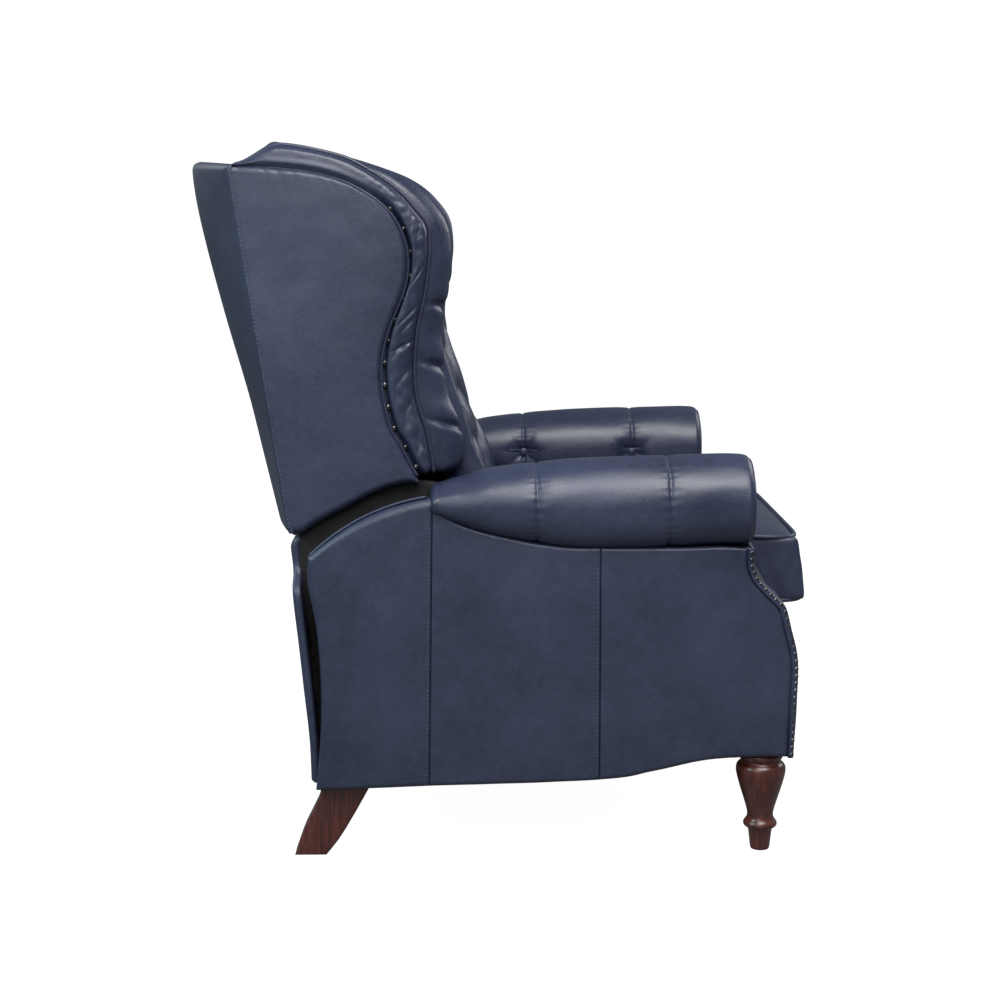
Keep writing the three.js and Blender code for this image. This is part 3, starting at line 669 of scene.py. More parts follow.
def arm_facing(side, hand):
    """The leather strip down the arm's front, with a row of nails along each edge."""
    path = Line(front_edge())

    def point(u, v):
        across = eased(u, 0.6)
        width = ARM_OUT - SEAT_HALF
        near = min(across, 1 - across) * width
        depth = FACE_DEPTH - rolled(near, 6 * MM) + 2 * MM * math.sin(math.pi * across) ** 0.6
        spot = path.at(v) + path.outward(v) * depth
        return Vector((side * (SEAT_HALF + across * width), spot.x, spot.y))

    bm = grid(34, 90, point)
    soften(bm, 1.2 * MM, 0.06, side)
    ply_edge = path.spread(201)

    def flatten(co):
        nearest = min(ply_edge, key=lambda p: (p.x - co.y) ** 2 + (p.y - co.z) ** 2)
        return Vector((co.x, nearest.x + 1 * MM, nearest.y))

    close_back(bm, flatten)
    piece(f"arm_front_strip_{hand}", bm, leather, "base", stands_for=(f"arm_facing_{hand}",))
    heads = []
    for step in range(ARM_NAILS):
        t = 0.015 + 0.965 * step / (ARM_NAILS - 1)
        spot, out = path.at(t), path.outward(t)
        for x, lean in ((ARM_OUT - 2.4 * MM, 0.9), (SEAT_HALF + 2.4 * MM, -0.9)):
            normal = Vector((side * lean, 0.4 * out.x, 0.4 * out.y)).normalized()
            heads.append((Vector((side * x, *(spot + out * 4.6 * MM))), normal))
    nail_row(f"arm_nails_{hand}", heads, 3.7 * MM, "base")


def nail_row(name, heads, radius, body):
    """Domed nail heads, each on a point with its normal."""
    bm = bmesh.new()
    for spot, normal in heads:
        turn = Vector((0, 0, 1)).rotation_difference(normal).to_matrix()
        made = bmesh.ops.create_uvsphere(bm, u_segments=10, v_segments=6, radius=radius)
        for vert in made["verts"]:
            flat = Vector((vert.co.x, vert.co.y, vert.co.z * 0.62))
            vert.co = spot + turn @ flat
    piece(name, bm, nail_metal, body)


# ---------------------------------------------------------------- legs
def front_leg(hand):
    """Turned leg: the profile's radii at shares of its height, spun round its axis."""
    low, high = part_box(f"front_leg_{hand}")
    height = high.z - low.z
    middle = (low + high) / 2
    profile = [(0, 0), (0.0135, 0), (0.0152, 0.010), (0.0165, 0.10), (0.0182, 0.195), (0.0195, 0.222),
               (0.0245, 0.236), (0.0268, 0.258), (0.0262, 0.288), (0.0222, 0.310), (0.0200, 0.345),
               (0.0203, 0.385), (0.0232, 0.455), (0.0285, 0.56), (0.0345, 0.68), (0.0385, 0.78),
               (0.0392, 0.835), (0.0375, 0.872), (0.0330, 0.894), (0.0312, 0.905), (0.0312, 0.922),
               (0.0335, 0.935), (0.0345, 0.96), (0.0335, 0.985), (0.031, 1.0), (0, 1.0)]
    bm = bmesh.new()
    verts = [bm.verts.new((radius, 0, share * height)) for radius, share in profile]
    for a, b in zip(verts, verts[1:]):
        bm.edges.new((a, b))
    bmesh.ops.spin(bm, geom=bm.verts[:] + bm.edges[:], cent=(0, 0, 0), axis=(0, 0, 1), angle=TAU,
                   steps=64, use_merge=True)
    bmesh.ops.remove_doubles(bm, verts=bm.verts, dist=1e-6)
    bmesh.ops.translate(bm, verts=bm.verts, vec=(middle.x, middle.y, low.z))
    leg = piece(f"turned_leg_{hand}", bm, cherry, "base", (f"front_leg_{hand}",))
    smooth = leg.modifiers.new("turning", "SUBSURF")
    smooth.levels = smooth.render_levels = 1


def rear_leg(hand):
    """Sabre leg, swept back to the floor and sawn from one thickness of board."""
    low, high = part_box(f"rear_leg_{hand}")
    front = Line([(low.y, high.z), (low.y + 0.024, 0.065), (low.y + 0.047, 0.027), (low.y + 0.068, 0)])
    rear = Line([(high.y + 5 * MM, 0), (high.y - 0.009, 0.039), (high.y - 0.024, 0.070),
                 (high.y - 0.034, 0.092), (high.y - 0.036, high.z)])
    bm = bmesh.new()
    corners = [bm.verts.new((low.x, *p)) for p in front.spread(14) + rear.spread(14)]
    face = bm.faces.new(corners)
    made = bmesh.ops.extrude_face_region(bm, geom=[face])["geom"]
    moved = [g for g in made if isinstance(g, bmesh.types.BMVert)]
    bmesh.ops.translate(bm, verts=moved, vec=(high.x - low.x, 0, 0))
    rims = [e for e in bm.edges if abs(e.verts[0].co.x - e.verts[1].co.x) < 1e-6]
    bmesh.ops.bevel(bm, geom=rims, offset=4 * MM, segments=4, profile=0.5, affect="EDGES", material=-1)
    piece(f"sabre_leg_{hand}", bm, cherry, "base", (f"rear_leg_{hand}",))


# ---------------------------------------------------------------- wings
nail_edge = Line(mm([(122, 590), (134, 610), (149, 640), (162, 661), (172, 699), (176.5, 729), (177, 758),
                     (173, 788), (164.5, 818), (152.6, 847), (141, 877), (135.5, 905), (136, 934),
                     (144, 963), (159, 990), (179, 1010), (206, 1028), (236, 1043), (280, 1055),
                     (333, 1061), (398, 1066)]))
welt_edge = Line(mm([(98, 594), (99.5, 613), (108, 658), (118, 690), (124, 715), (126.5, 751), (125, 786),
                     (120, 825), (110, 870), (104, 915), (102.5, 945), (105.5, 975), (124, 1000),
                     (147, 1025), (174, 1046), (204, 1064), (233, 1078), (281, 1090), (318, 1096),
                     (338, 1096), (352, 1090), (368, 1080), (384, 1071), (400, 1066)]))
front_swell = Line(mm([(60, 592), (50, 618), (52, 650), (62, 680), (73, 715), (80, 750), (84, 786),
                       (83, 820), (76, 868), (69, 915), (69, 945), (75, 975), (92, 1004), (118, 1031),
                       (155, 1054), (200, 1071), (250, 1084), (300, 1093), (330, 1095), (350, 1089),
                       (368, 1078), (384, 1070), (400, 1065)]))
inner_tuck = Line(mm([(96, 592), (92, 640), (104, 700), (122, 760), (134, 820), (142, 880), (146, 930),
                      (156, 975), (178, 1012), (215, 1045), (258, 1068), (305, 1083), (338, 1085),
                      (366, 1075), (399, 1063)]))
WING_GATHER = ((0.66, 0.12, 1.0), (0.86, 0.10, 0.5))   # where the boxing is gathered, how far, how much


def wing_section(t):
    """Guide points of the wing pad's section at t: the nail channel, the boxing, the swell and the tuck."""
    nail, welt, swell, tuck = (line.at(t) for line in (nail_edge, welt_edge, front_swell, inner_tuck))
    wide = max((welt - nail).length, 1 * MM)
    sunk = 1 / (1 + math.exp((t - 0.66) / 0.03))      # the nail channel runs out over the top
    floor, rise, belly, brow = (nail.lerp(welt, share) for share in
                                (0.15, min(0.40, 10 * MM / wide), min(0.62, 17 * MM / wide), 0.84))
    deep = Vector((tuck.x + 48 * MM, tuck.y)) if t < 0.72 else tuck.lerp(nail, 0.5) - Vector((0, 14 * MM))
    inner = WING_IN - 4 * MM
    rim = WING_OUT - (7 + 9 * sunk) * MM
    return [
        Line([(rim, *nail), (rim + (3 - 4 * sunk) * MM, *floor), (rim + (5 - sunk) * MM, *rise),
              (WING_OUT - 4 * MM, *belly), (WING_OUT - 8 * MM, *brow), (WING_OUT - 26 * MM, *welt)]),
        Line([(WING_OUT - 26 * MM, *welt), (WING_OUT - 34 * MM, *welt.lerp(swell, 0.62)),
              (WING_OUT - 56 * MM, *swell), (WING_OUT - 76 * MM, *swell.lerp(tuck, 0.4)),
              (SEAT_HALF - 2 * MM, *tuck)]),
        Line([(SEAT_HALF - 2 * MM, *tuck), (SEAT_HALF + 10 * MM, *deep), (inner, *nail.lerp(deep, 0.3)),
              (rim, *nail)]),
    ]


WING_FOLDS = (0.10, 0.225, 0.345)   # creases across the wing pad's face, up its length
BOXING_SHARE, FACE_SHARE = 0.3, 0.48


def wing_pad(side, hand):
    """The padded wing: gathered boxing, then a rounded face that tucks in beside the tufted back."""
    sections = {}

    def point(u, v):
        key = round(v, 5)
        if key not in sections:
            sections[key] = wing_section(v)
        boxing, face, hidden = sections[key]
        if u < BOXING_SHARE:
            share = u / BOXING_SHARE
            spot = boxing.at(share).copy()
            along = v * nail_edge.length
            crown = math.sin(math.pi * min(1.0, max(0.0, (share - 0.3) / 0.7)))
            pleat = abs(math.sin(along * 118 + 7 * share + 2.5 * ripple((v, 0, side), 0.02))) ** 0.8
            gather = sum(weight * bump(v - middle, width) for middle, width, weight in WING_GATHER)
            creases = abs(math.sin(along * 62 - 5.5 * share + 3 * ripple((v, 1, side), 0.05))) ** 0.6
            spot.x -= 3.2 * MM * gather * (1 - pleat) * crown
            spot.x -= 2.8 * MM * (1 - creases) * crown * (1 - 0.8 * min(1.0, gather))
            spot.x += 2.0 * MM * ripple((v * 6 + share * 0.8, share * 0.5, side), 0.14) * crown
            calm = 0.22 + 0.78 / (1 + math.exp((v - 0.60) / 0.04))
            spot.x = boxing.at(share).x + (spot.x - boxing.at(share).x) * calm
            cross = bump((v - 0.288) * nail_edge.length, 2.4 * MM)
            spot.x -= 4 * MM * cross * crown
        elif u < BOXING_SHARE + FACE_SHARE:
            share = (u - BOXING_SHARE) / FACE_SHARE
            spot = face.at(share).copy()
            rise = math.sin(math.pi * min(1.0, share * 1.2)) if share < 0.83 else 0.0
            wave = 2.4 * MM * ripple((v * 1.6 + 0.2 * share, 0.3 * share, side + 3), 0.13) * rise
            for fold in WING_FOLDS:
                away = (v - fold + 0.05 * (share - 0.4)) * front_swell.length
                wave += MM * (3 * bump(away - 22 * MM, 18 * MM) - 6.5 * bump(away, 7 * MM)) * rise
            spot.y -= wave
            spot.x += 0.6 * wave
        else:
            spot = hidden.at((u - BOXING_SHARE - FACE_SHARE) / (1 - BOXING_SHARE - FACE_SHARE))
        foot = rolled(v * nail_edge.length, 14 * MM)
        if foot:
            heart = Vector((WING_OUT - 45 * MM, 0.110))
            away = Vector((spot.x, spot.y)) - heart
            spot.x, spot.y = heart + away * max(0.3, 1 - foot / max(away.length, 1 * MM))
        return Vector((side * spot.x, spot.y, spot.z))

    bm = grid(96, 260, point)
    sew_shut(bm)
    piece(f"wing_cover_{hand}", bm, soft_leather, "back", stands_for=(f"wing_pad_{hand}",))
    welt = [Vector((side * (WING_OUT - 25 * MM), p.x - 1.5 * MM, p.y)) for p in welt_edge.spread(150)]
    piping(f"wing_welt_{hand}", welt, "back", 3.2 * MM)


WING_NAILS = 13
WING_NAIL_GAP = 35 * MM
SEAM_FOOT = 0.319                   # where the wing's rear seam starts, from the middle of the chair


def outside_wing(side, hand):
    """The wing's flat outer panel, its piping and nails in front and the sewn seam behind."""
    points = nail_edge.dense
    split = min(range(len(points)), key=lambda i: abs(points[i].y - 1.0))
    front = Line(points[: split + 1 : 5] + [points[split]])
    front = Line([Vector((0.117, 0.578)), *front.dense[8::5], front.dense[-1]])
    top = Line([(wing_high.y, wing_high.z), *[tuple(p) for p in points[split:][::-6]], tuple(points[split])])
    bottom = Line(mm([(319, 499), (298, 501), (273, 517), (228, 541), (184, 564), (144, 577), (117, 578)]))
    rear = Line([(SEAM_FOOT, WING_BOTTOM), (wing_high.y, wing_high.z)])
    place = coons(bottom, top, rear, front)

    def pucker(along, below):
        fold = abs(math.sin(along * 130 + 2 * ripple((along, 0, 0), 0.03))) ** 0.6
        return -2.6 * MM * (1 - fold) * math.exp(-below / 0.016) * bump(along - 0.10, 0.10)

    bm = panel_sheet(side, place, (120, 140), (0.24, 0.52), (WING_OUT - 1 * MM, WING_IN + 1 * MM),
                     (2.5 * MM, 9 * MM, 14 * MM, 10 * MM), 2.5 * MM, pucker)
    piece(f"wing_panel_{hand}", bm, leather, "back", stands_for=(f"outside_wing_{hand}",))
    edge = [Vector((side * (WING_OUT - 8.5 * MM), p.x - 1.6 * MM, p.y)) for p in nail_edge.spread(160)]
    piping(f"wing_piping_{hand}", edge, "back", 2.2 * MM)
    height = shell_high.z - WING_BOTTOM
    run = [Vector((side * (WING_OUT + 0.1 * MM), seam_line(WING_BOTTOM + height * i / 92) - 3 * MM,
                   WING_BOTTOM + height * i / 92)) for i in range(2, 91)]
    stitches(f"wing_seam_stitch_{hand}", run, "back")
    heads = []
    for step in range(WING_NAILS):
        t = 0.018 + step * WING_NAIL_GAP / nail_edge.length
        spot, out = nail_edge.at(t), nail_edge.outward(t)
        heads.append((Vector((side * (WING_OUT - 13.5 * MM), *(spot + out * 6.5 * MM))),
                      Vector((side * 0.95, out.x * 0.3, out.y * 0.3)).normalized()))
    nail_row(f"wing_nails_{hand}", heads, 5.2 * MM, "back")


# ---------------------------------------------------------------- outside back and rear panel
BACK_SWELL = Line([(0, 0.038), (0.1, 0.045), (0.31, 0.058), (0.5, 0.074), (0.65, 0.084), (0.8, 0.092),
                   (0.9, 0.095), (0.97, 0.094), (1, 0.089)])


def seam_line(z):
    """How far back the seam between wing and outside back lies at a height."""
    share = (z - WING_BOTTOM) / (shell_high.z - WING_BOTTOM)
    return SEAM_FOOT + (wing_high.y - SEAM_FOOT) * share


def bulge(x, z):
    """How far the outside back stands out behind its side seams."""
    share = min(1.0, max(0.0, (z - WING_BOTTOM) / (shell_high.z - WING_BOTTOM)))
    return BACK_SWELL.at(share).y * max(0.0, 1 - (x / WING_OUT) ** 2) ** 0.97


def outside_back():
    """One hide over the barrel of the back, from wing to wing."""
    half = WING_OUT - 1 * MM
    height = shell_high.z - WING_BOTTOM

    def face(u, v):
        x = half * (2 * eased(u, 0.6) - 1)
        up = eased(v, 0.6)
        z = WING_BOTTOM + height * up
        turned = max(rolled(half - abs(x), 8 * MM), rolled(up * height, 10 * MM),
                     rolled((1 - up) * height, 10 * MM))
        y = seam_line(z) + bulge(x, z) - turned + 1.6 * MM * ripple((x, z, 3), 0.14)
        return Vector((x, y, z + 8 * MM * (1 - (x / half) ** 2) * up))

    def lining(u, v):
        spot = face(u, v)
        edge = 1 - 0.04 * (abs(2 * u - 1) > 0.97)
        return Vector((spot.x * edge, seam_line(spot.z) + bulge(spot.x, spot.z) - 12 * MM, spot.z))

    bm = two_sided(110, 80, face, lining)
    piece("outside_back_cover", bm, leather, "back", stands_for=("outside_back",))


def rear_flap():
    """The upright panel behind the seat, between the arms' rear edges."""
    line = Line(mm([(284, 116), (288, 190), (296, 275), (307, 379), (312, 440), (315, 466), (316, 480),
                    (311, 489), (301, 496), (288, 500)]))

    def half_width(z):
        """Full width below, and at the top drawn in to pass between the wings as the back leans."""
        drawn_in = 1 / (1 + math.exp((0.430 - z) / 0.004))
        return flap_high.x + (WING_IN - 5 * MM - flap_high.x) * drawn_in

    def face(u, v):
        across, up = eased(u, 0.6), eased(v, 0.6)
        y, z = line.at(up)
        half = half_width(z)
        x = half * (2 * across - 1)
        near = min(half - abs(x), up * line.length, (1 - up) * line.length)
        y += 2 * MM - rolled(near, 6 * MM) + 1.5 * MM * ripple((x, z, 9), 0.12)
        return Vector((x, y, z))

    def lining(u, v):
        spot = line.at(eased(v, 0.6))
        return Vector((half_width(spot.y) * (2 * eased(u, 0.6) - 1), spot.x - 11 * MM, spot.y))

    bm = two_sided(90, 44, face, lining)
    piece("rear_flap", bm, leather, "base", stands_for=("rear_panel",))


# ---------------------------------------------------------------- tufted inside back and crest
back_line = Line(mm([(-2, 470), (-4, 500), (8, 546), (26, 600), (45, 651), (62, 700), (76, 745), (88, 800),
                     (100, 850), (120, 890), (150, 925), (182, 965), (215, 1001), (255, 1045), (300, 1080),
                     (338, 1098), (364, 1103), (380, 1095), (394, 1085), (408, 1076), (424, 1071),
                     (462, 1067), (486, 1063)]))
BUTTON_X = 106 * MM
BUTTON_ROW = 88 * MM
TUFT_RISE = 24 * MM
TUFT_START = 78 * MM                # up the back's face to the first row of buttons
TUFT_ROWS = 6
back_half = WING_IN - 62 * MM


def tuft_height(x, s):
    """Height of the tufted padding, and how deep a button pulls, at x and a way s up the face."""
    climb = s - TUFT_START
    last = BUTTON_ROW * (TUFT_ROWS - 1)
    inside = min(1.0, max(0.0, (climb + BUTTON_ROW) / BUTTON_ROW)) * min(
        1.0, max(0.0, (last + BUTTON_ROW - climb) / BUTTON_ROW))
    a = x / BUTTON_X + climb / (2 * BUTTON_ROW)
    b = x / BUTTON_X - climb / (2 * BUTTON_ROW)
    pillow = (abs(math.sin(math.pi * a)) * abs(math.sin(math.pi * b))) ** 0.42
    row = round(min(max(climb / BUTTON_ROW, 0), TUFT_ROWS - 1))
    shift = 0.5 * (row % 2)
    column = round(x / BUTTON_X - shift) + shift
    gap = math.hypot(x - column * BUTTON_X, climb - row * BUTTON_ROW)
    pull = 11 * MM * math.exp(-((gap / (15 * MM)) ** 2))
    if climb < 0 or climb > last:
        # Past the end rows the folds run straight, from each button to the seam.
        shift = 0.0 if climb < 0 else 0.5 * ((TUFT_ROWS - 1) % 2)
        straight = abs(math.sin(math.pi * (x / BUTTON_X - shift))) ** 0.45
        over = min(1.0, (-climb if climb < 0 else climb - last) / (0.55 * BUTTON_ROW))
        pillow = pillow * (1 - over) + straight * over
    fade = 0.35 + 0.65 * inside
    return TUFT_RISE * (pillow - 1) * fade - pull


def back_base(x, t):
    """The untufted surface of the inside back at x, and its outward direction in Y and Z."""
    y, z = back_line.at(t)
    out = back_line.outward(t)
    side = min(1.0, abs(x) / back_half)
    if z > 0.95 or t > 0.8:
        # Over the crest the pad follows the barrel of the outside back.
        share = max(0.0, (t - 0.72) / 0.28)
        y -= share * (bulge(0, shell_high.z) - bulge(x, shell_high.z)) * 0.98
    curl = 14 * MM * side**3 * max(0.0, 1 - t / 0.75)
    return Vector((y + (6 * MM * (1 - side**2) - curl if t < 0.8 else 0), z)), out


def inside_back():
    """The button-tufted inside back, over the crest and down behind it."""
    length = back_line.length

    def face(u, v):
        x = (back_half + 6 * MM) * (2 * u - 1)
        spot, out = back_base(x, v)
        rise = tuft_height(x, v * length)
        edge = (back_half + 6 * MM - abs(x))
        rise = rise * min(1.0, max(0.15, edge / (34 * MM))) - rolled(max(edge, 0), 16 * MM)
        rise += 1.6 * MM * ripple((x, v * length, 1), 0.05)
        spot = spot + out * rise
        return Vector((x, spot.x, spot.y))

    def lining(u, v):
        x = (back_half + 4 * MM) * (2 * u - 1)
        spot, out = back_base(x, v)
        deep = 62 * MM * min(1.0, 12 * v + 0.3, 8 * (1 - v) + 0.25)
        spot = spot - out * deep
        return Vector((x, spot.x, spot.y))

    bm = two_sided(230, 300, face, lining)
    piece("inside_back_cover", bm, soft_leather, "back", stands_for=("inside_back_pad",))
    bm = bmesh.new()
    for row in range(TUFT_ROWS):
        s = TUFT_START + row * BUTTON_ROW
        shift = 0.5 * (row % 2)
        for step in range(-3, 4):
            x = (step + shift) * BUTTON_X
            if abs(x) > back_half - 18 * MM:
                continue
            spot, out = back_base(x, s / length)
            spot = spot + out * (tuft_height(x, s) + 1.5 * MM)
            leaf = Vector((0, 0, 1)).rotation_difference(Vector((0, out.x, out.y))).to_matrix()
            made = bmesh.ops.create_uvsphere(bm, u_segments=20, v_segments=10, radius=11.5 * MM)
            for vert in made["verts"]:
                vert.co = Vector((x, spot.x, spot.y)) + leaf @ Vector((vert.co.x, vert.co.y, vert.co.z * 0.5))
    piece("back_buttons", bm, leather, "back")


# ---------------------------------------------------------------- cushions made by swelling cloth
def remeshed(name, bm, voxel):
    made = add_object(name, bm)
    remesh = made.modifiers.new("even", "REMESH")
    remesh.mode = "VOXEL"
    remesh.voxel_size = voxel
    shown = made.evaluated_get(bpy.context.evaluated_depsgraph_get())
    made.data = bpy.data.meshes.new_from_object(shown)
    made.modifiers.clear()
    return made


def swell(cushion, pressure, cap, held=None, steps=20):
    """Inflates a closed cover as cloth, with no point moving further than cap."""
    rest = [v.co.copy() for v in cushion.data.vertices]
    cloth = cushion.modifiers.new("swell", "CLOTH")
    cloth.settings.use_pressure = True
    cloth.settings.uniform_pressure_force = pressure
    cloth.settings.effector_weights.gravity = 0
    cloth.settings.quality = 4
    cloth.point_cache.frame_end = steps
    if held:
        cloth.settings.vertex_group_mass = held
    for step in range(1, steps + 1):
        scene.frame_set(step)
    shown = cushion.evaluated_get(bpy.context.evaluated_depsgraph_get())
    swollen = [v.co.copy() for v in shown.data.vertices]
    cushion.modifiers.clear()
    scene.frame_set(1)
    for vert, start, end in zip(cushion.data.vertices, rest, swollen):
        move = end - start
        vert.co = start + move * min(1.0, cap / max(move.length, 1e-9))


def finish_cushion(cushion, material, body, node):
    mesh = cushion.data
    mesh.materials.clear()
    mesh.materials.append(material)
    mesh.shade_smooth()
    fine = cushion.modifiers.new("fine", "SUBSURF")
    fine.levels = fine.render_levels = 1
    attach(cushion, body)
    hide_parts(node)


CUSHION_BOXING = 112 * MM
CUSHION_SEAM = 7 * MM               # bottom seam above the cushion's underside
FRONT_DROOP, FRONT_LEAN = 4 * MM, 12 * MM


def seat_cushion():
    """Box cushion: swollen as cloth with its seams held, then pleated and piped."""
    low, high = cushion_low, cushion_high
    foot_z, edge_z = low.z + CUSHION_SEAM, low.z + CUSHION_BOXING
    half = Vector(((high.x - low.x) / 2 - 6 * MM, (high.y - low.y) / 2 - 3 * MM))
    middle = (low.y + high.y) / 2 - 2 * MM
    bm = bmesh.new()
    bmesh.ops.create_cube(bm, size=2.0)
    bmesh.ops.subdivide_edges(bm, edges=bm.edges, cuts=15, use_grid_fill=True)
    for vert in bm.verts:
        x, y, z = vert.co
        crown = 24 * MM * (1 - x * x) ** 0.7 * (1 - y**4) if z > 0.99 else 0
        droop = FRONT_DROOP * max(0.0, -y) ** 3
        lean = FRONT_LEAN * max(0.0, -y) ** 4 * (z + 1) / 2
        level = foot_z + (edge_z - droop - foot_z) * (z + 1) / 2 + crown
        vert.co = Vector((x * half.x, middle + y * half.y + lean, level))
    cushion = remeshed("seat_cushion_cover", bm, 6 * MM)
    held = cushion.vertex_groups.new(name="held")
    for vert in cushion.data.vertices:
        dx = half.x - abs(vert.co.x)
        up = min(1.0, max(0.0, (vert.co.z - low.z) / 0.11))
        dy = half.y - abs(vert.co.y - middle) - (FRONT_LEAN * up if vert.co.y < middle else 0)
        droop = FRONT_DROOP * max(0.0, -(vert.co.y - middle) / half.y) ** 3
        dz = min(abs(vert.co.z - foot_z), abs(vert.co.z - edge_z + droop))
        if min(dx, dy) < 7 * MM and dz < 8 * MM:
            held.add([vert.index], 1.0, "REPLACE")
    swell(cushion, 5.0, 15 * MM, "held")
    for vert in cushion.data.vertices:
        tuck = ripple(vert.co, 0.055, 4)
        dy = half.y - abs(vert.co.y - middle)
        dx = half.x - abs(vert.co.x)
        if min(dx, dy) < 22 * MM and vert.co.z < edge_z:
            pleat = math.sin((vert.co.x + 1.3 * vert.co.y) * 150 + 5 * tuck)
            inward = Vector((-vert.co.x, middle - vert.co.y, 0)).normalized()
            share = math.sin(math.pi * min(1.0, max(0.0, (vert.co.z - low.z) / CUSHION_BOXING)))
            vert.co += inward * (2.0 * MM * pleat * abs(pleat) ** 0.3 * share + 1.5 * MM * tuck)
        else:
            vert.co.z += 2.5 * MM * tuck
    finish_cushion(cushion, soft_leather, "seat", "seat_cushion")
    proud = 1 * MM
    corner_power = 12
    for level, name in ((edge_z, "top"), (foot_z, "bottom")):
        run = []
        for step in range(240):
            angle = TAU * step / 240
            dx, dy = math.cos(angle), math.sin(angle)
            scale = (abs(dx) ** corner_power + abs(dy) ** corner_power) ** (-1 / corner_power)
            x, y = dx * scale * half.x, dy * scale * half.y
            front = max(0.0, -y / half.y) if name == "top" else 0
            run.append(Vector((x * (1 + proud / half.x),
                               middle + y * (1 + proud / half.y) + FRONT_LEAN * front**4,
                               level - FRONT_DROOP * front**3)))
        piping(f"seat_piping_{name}", run, "seat", 3.6 * MM, closed=True)


def footrest_cover():
    """The footrest's pad, swollen as cloth with its back held to the board."""
    low, high = foot_low, foot_high
    bm = bmesh.new()
    bmesh.ops.create_cube(bm, size=1.0)
    size = high - low - Vector((8, 10, 8)) * MM
    for vert in bm.verts:
        vert.co = Vector((vert.co.x * size.x, (low.y + high.y) / 2 + 2 * MM + vert.co.y * size.y,
                          (low.z + high.z) / 2 + vert.co.z * size.z))
    cover = remeshed("footrest_cover", bm, 6 * MM)
    held = cover.vertex_groups.new(name="held")
    back = high.y - 8 * MM
    held.add([v.index for v in cover.data.vertices if v.co.y > back], 1.0, "REPLACE")
    swell(cover, 4.0, 7 * MM, "held")
    finish_cushion(cover, soft_leather, "footrest", "footrest_pad")


def footrest_wrap():
    """Leather drawn over the board's edges and back, so no bare ply shows when the footrest is out."""
    low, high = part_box("footrest_board")
    bm = bmesh.new()
    bmesh.ops.create_cube(bm, size=1.0)
    middle, size = (low + high) / 2, high - low + Vector((2, 2, 2)) * MM
    for vert in bm.verts:
        vert.co = middle + Vector(a * b for a, b in zip(vert.co, size))
    bmesh.ops.bevel(bm, geom=bm.edges[:], offset=2.5 * MM, segments=3, profile=0.5, affect="EDGES",
                    material=-1)
    piece("footrest_wrap", bm, leather, "footrest")


# ---------------------------------------------------------------- inside arms
def inside_arm(side, hand):
    """The arm's inner panel, from the seat up under the roll, drawn in at the roll's seams."""
    low, high = inside_low, inside_high
    bottom = Line([(0.150, low.z), (-0.436, low.z)])
    top = Line(mm([(150, 560), (120, 556), (92, 553), (48, 528), (-27, 510), (-74, 502), (-138, 496),
                   (-280, 499), (-339, 503), (-370, 504)]))
    rear = Line([(0.150, low.z), (0.150, 0.556)])
    front = Line([(-0.436, low.z), (-0.425, 0.400), (-0.392, 0.445), (-0.370, 0.504)])
    place = coons(bottom, top, rear, front)

    def point(u, v):
        y, z = place(eased(u, 0.5), eased(v, 0.5))
        near = min(v * 0.13, (1 - u) * 0.5, u * 0.5)
        x = low.x + rolled(near, 7 * MM)
        for seam in ROLL_SEAMS:
            x += 3 * MM * bump(y - seam, 3 * MM) + 5 * MM * bump(y - seam, 24 * MM) * v
        x += 1.2 * MM * ripple((y, z, side), 0.06)
        return Vector((side * x, y, z))

    bm = grid(110, 40, point)
    close_back(bm, lambda co: Vector((side * high.x, co.y, co.z)))
    piece(f"inside_arm_cover_{hand}", bm, leather, "base", stands_for=(f"inside_arm_{hand}",))


def inner_apron(side, hand):
    """Leather on the arm's inner side, ahead of the lifting gear and under the inside arm."""
    low = Line(mm([(-262, 140), (-340, 158), (-442, 166)]))
    top = Line([(-0.262, inside_low.z + 4 * MM), (-0.442, inside_low.z + 4 * MM)])
    place = coons(low, top, straight(low.at(0), top.at(0)), straight(low.at(1), top.at(1)))

    def point(u, v):
        y, z = place(eased(u, 0.5), eased(v, 0.5))
        near = min(u * 0.18, (1 - u) * 0.18, v * 0.19)
        return Vector((side * (inside_high.x - 7 * MM + rolled(near, 5 * MM)), y, z))

    bm = grid(30, 34, point)
    close_back(bm, lambda co: Vector((side * inside_high.x, co.y, co.z)))
    piece(f"arm_inner_apron_{hand}", bm, leather, "base")


def roll_buttons(side, hand):
    """The buttons where each seam of a roll meets the inside arm."""
    bm = bmesh.new()
    for seam in ROLL_SEAMS:
        spot = Vector((side * (ROLL_MIDDLE - ROLL_HALF * 0.80), seam, 0.545))
        for vert in bmesh.ops.create_uvsphere(bm, u_segments=18, v_segments=9, radius=7.5 * MM)["verts"]:
            vert.co = spot + Vector((vert.co.x * 0.45, vert.co.y, vert.co.z))
    piece(f"roll_buttons_{hand}", bm, leather, "base")


def crevice_strip():
    """The pull-through of leather that joins the inside back's foot to the seat deck."""
    start = Vector((cushion_high.y, cushion_low.z + 6 * MM))
    end = Vector((back_low.y + 26 * MM, back_low.z + 30 * MM))

    def point(u, v):
        x = (SEAT_HALF - 8 * MM) * (2 * u - 1)
        spot = (start + Vector((1.5 * MM, 0))).lerp(end, v) + Vector((0, -14 * MM * math.sin(math.pi * v)))
        return Vector((x, spot.x, spot.y))

    bm = grid(40, 14, point)
    bmesh.ops.solidify(bm, geom=bm.faces[:], thickness=1.5 * MM)
    bmesh.ops.recalc_face_normals(bm, faces=bm.faces)
    strip = add_object("crevice_strip", bm, leather)
    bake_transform(strip)


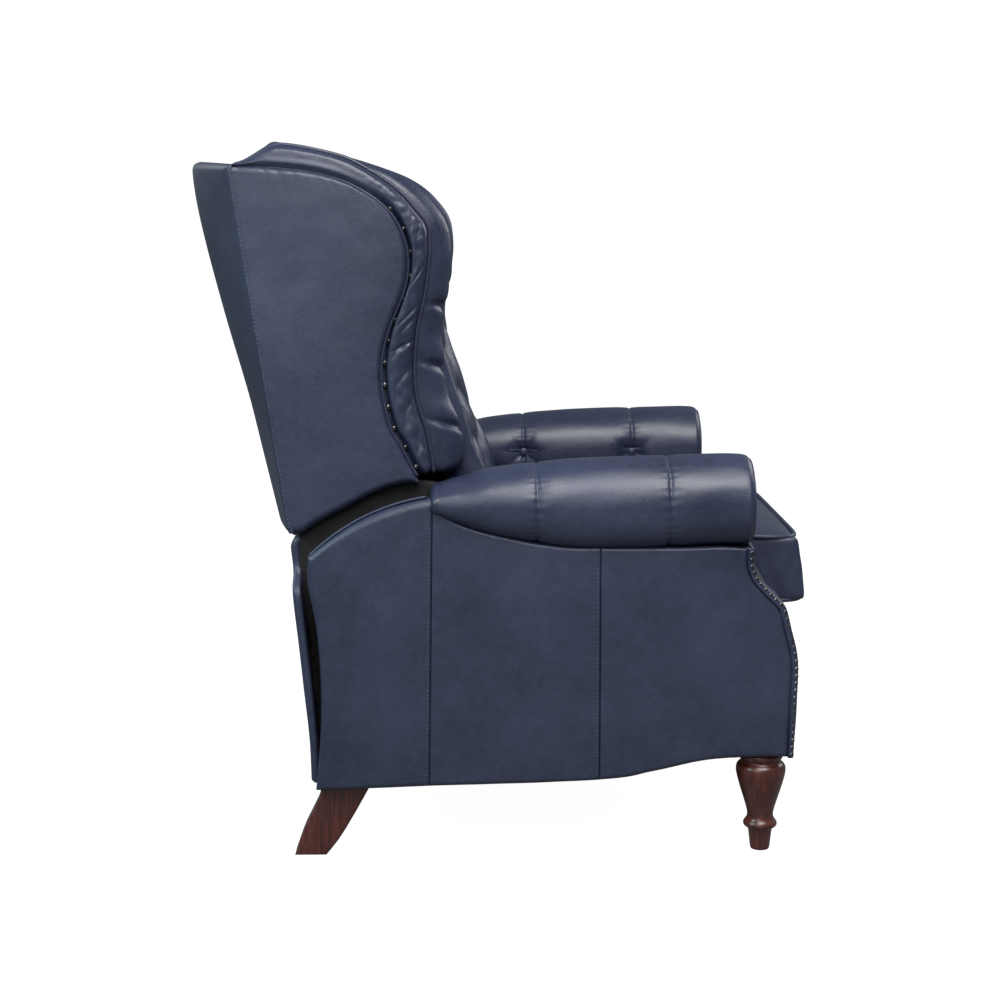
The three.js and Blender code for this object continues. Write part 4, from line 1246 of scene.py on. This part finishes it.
# ---------------------------------------------------------------- floor, light and camera
def studio():
    """A pale floor and backdrop, and five soft lamps."""
    bm = bmesh.new()
    bmesh.ops.create_grid(bm, x_segments=2, y_segments=2, size=14)
    material, ground, shader = base_material("pale_floor")[:3]
    shader.inputs["Base Color"].default_value = (0.18, 0.18, 0.18, 1)
    shader.inputs["Roughness"].default_value = 0.9
    shader.inputs["Emission Color"].default_value = (1, 1, 1, 1)
    seen_floor = ground.nodes.new("ShaderNodeLightPath").outputs["Is Camera Ray"]
    wire(ground, math_node(ground, "MULTIPLY", seen_floor, 0.975), shader.inputs["Emission Strength"])
    add_object("floor", bm, material)
    world = bpy.data.worlds.new("studio")
    world.use_nodes = True
    scene.world = world
    tree = world.node_tree
    sky = next(n for n in tree.nodes if n.type == "BACKGROUND")
    seen = tree.nodes.new("ShaderNodeBackground")
    sky.inputs["Color"].default_value = (0.82, 0.95, 1.0, 1)
    sky.inputs["Strength"].default_value = 0.20
    seen.inputs["Color"].default_value = (1, 1, 1, 1)
    seen.inputs["Strength"].default_value = 1.05
    path = tree.nodes.new("ShaderNodeLightPath")
    mix = tree.nodes.new("ShaderNodeMixShader")
    wire(tree, path.outputs["Is Camera Ray"], mix.inputs[0])
    wire(tree, sky.outputs[0], mix.inputs[1])
    wire(tree, seen.outputs[0], mix.inputs[2])
    leave = next(n for n in tree.nodes if n.type == "OUTPUT_WORLD")
    wire(tree, mix.outputs[0], leave.inputs["Surface"])
    plain, cool = (1.0, 1.0, 1.0), (0.70, 0.97, 1.0)
    lamps = (("key", (-1.9, -0.5, 3.1), (0.0, -0.1, 0.6), 1.9, 118, plain),
             ("side", (-3.6, 0.9, 2.0), (0.0, 0.1, 0.6), 1.6, 30, plain),
             ("rim", (1.6, -2.6, 2.2), (0.0, -0.1, 0.6), 1.6, 34, plain),
             ("tail", (-1.5, 2.9, 2.3), (0.0, 0.3, 0.9), 1.4, 66, cool),
             ("back", (1.6, 2.8, 2.2), (0.0, 0.1, 0.6), 1.8, 20, plain))
    for name, spot, target, size, power, colour in lamps:
        data = bpy.data.lights.new(name, "AREA")
        data.size = size
        data.energy = power
        data.color = colour
        lamp = bpy.data.objects.new(name, data)
        lamp.location = spot
        lamp.rotation_euler = (Vector(target) - Vector(spot)).to_track_quat("-Z", "Y").to_euler()
        scene.collection.objects.link(lamp)


def camera():
    data = bpy.data.cameras.new("camera")
    data.sensor_width = 36
    data.lens = 70.36
    data.shift_y = -0.1
    made = bpy.data.objects.new("camera", data)
    made.location = (-3.3245, 0.0499, 1.0205)
    down, pan = math.radians(5.989), math.radians(1.08)
    aim = Vector((math.cos(down) * math.cos(pan), -math.cos(down) * math.sin(pan), -math.sin(down)))
    made.rotation_euler = aim.to_track_quat("-Z", "Y").to_euler()
    scene.collection.objects.link(made)
    scene.camera = made


camera()
studio()
for side, hand in ((-1, "right"), (1, "left")):
    outside_arm(side, hand)
    arm_roll(side, hand)
    arm_facing(side, hand)
    inside_arm(side, hand)
    inner_apron(side, hand)
    roll_buttons(side, hand)
    front_leg(hand)
    rear_leg(hand)
    outside_wing(side, hand)
    wing_pad(side, hand)
    arm_well(side, hand)
outside_back()
rear_flap()
inside_back()
seat_cushion()
footrest_cover()
footrest_wrap()
crevice_strip()
scene.view_settings.view_transform = "Standard"
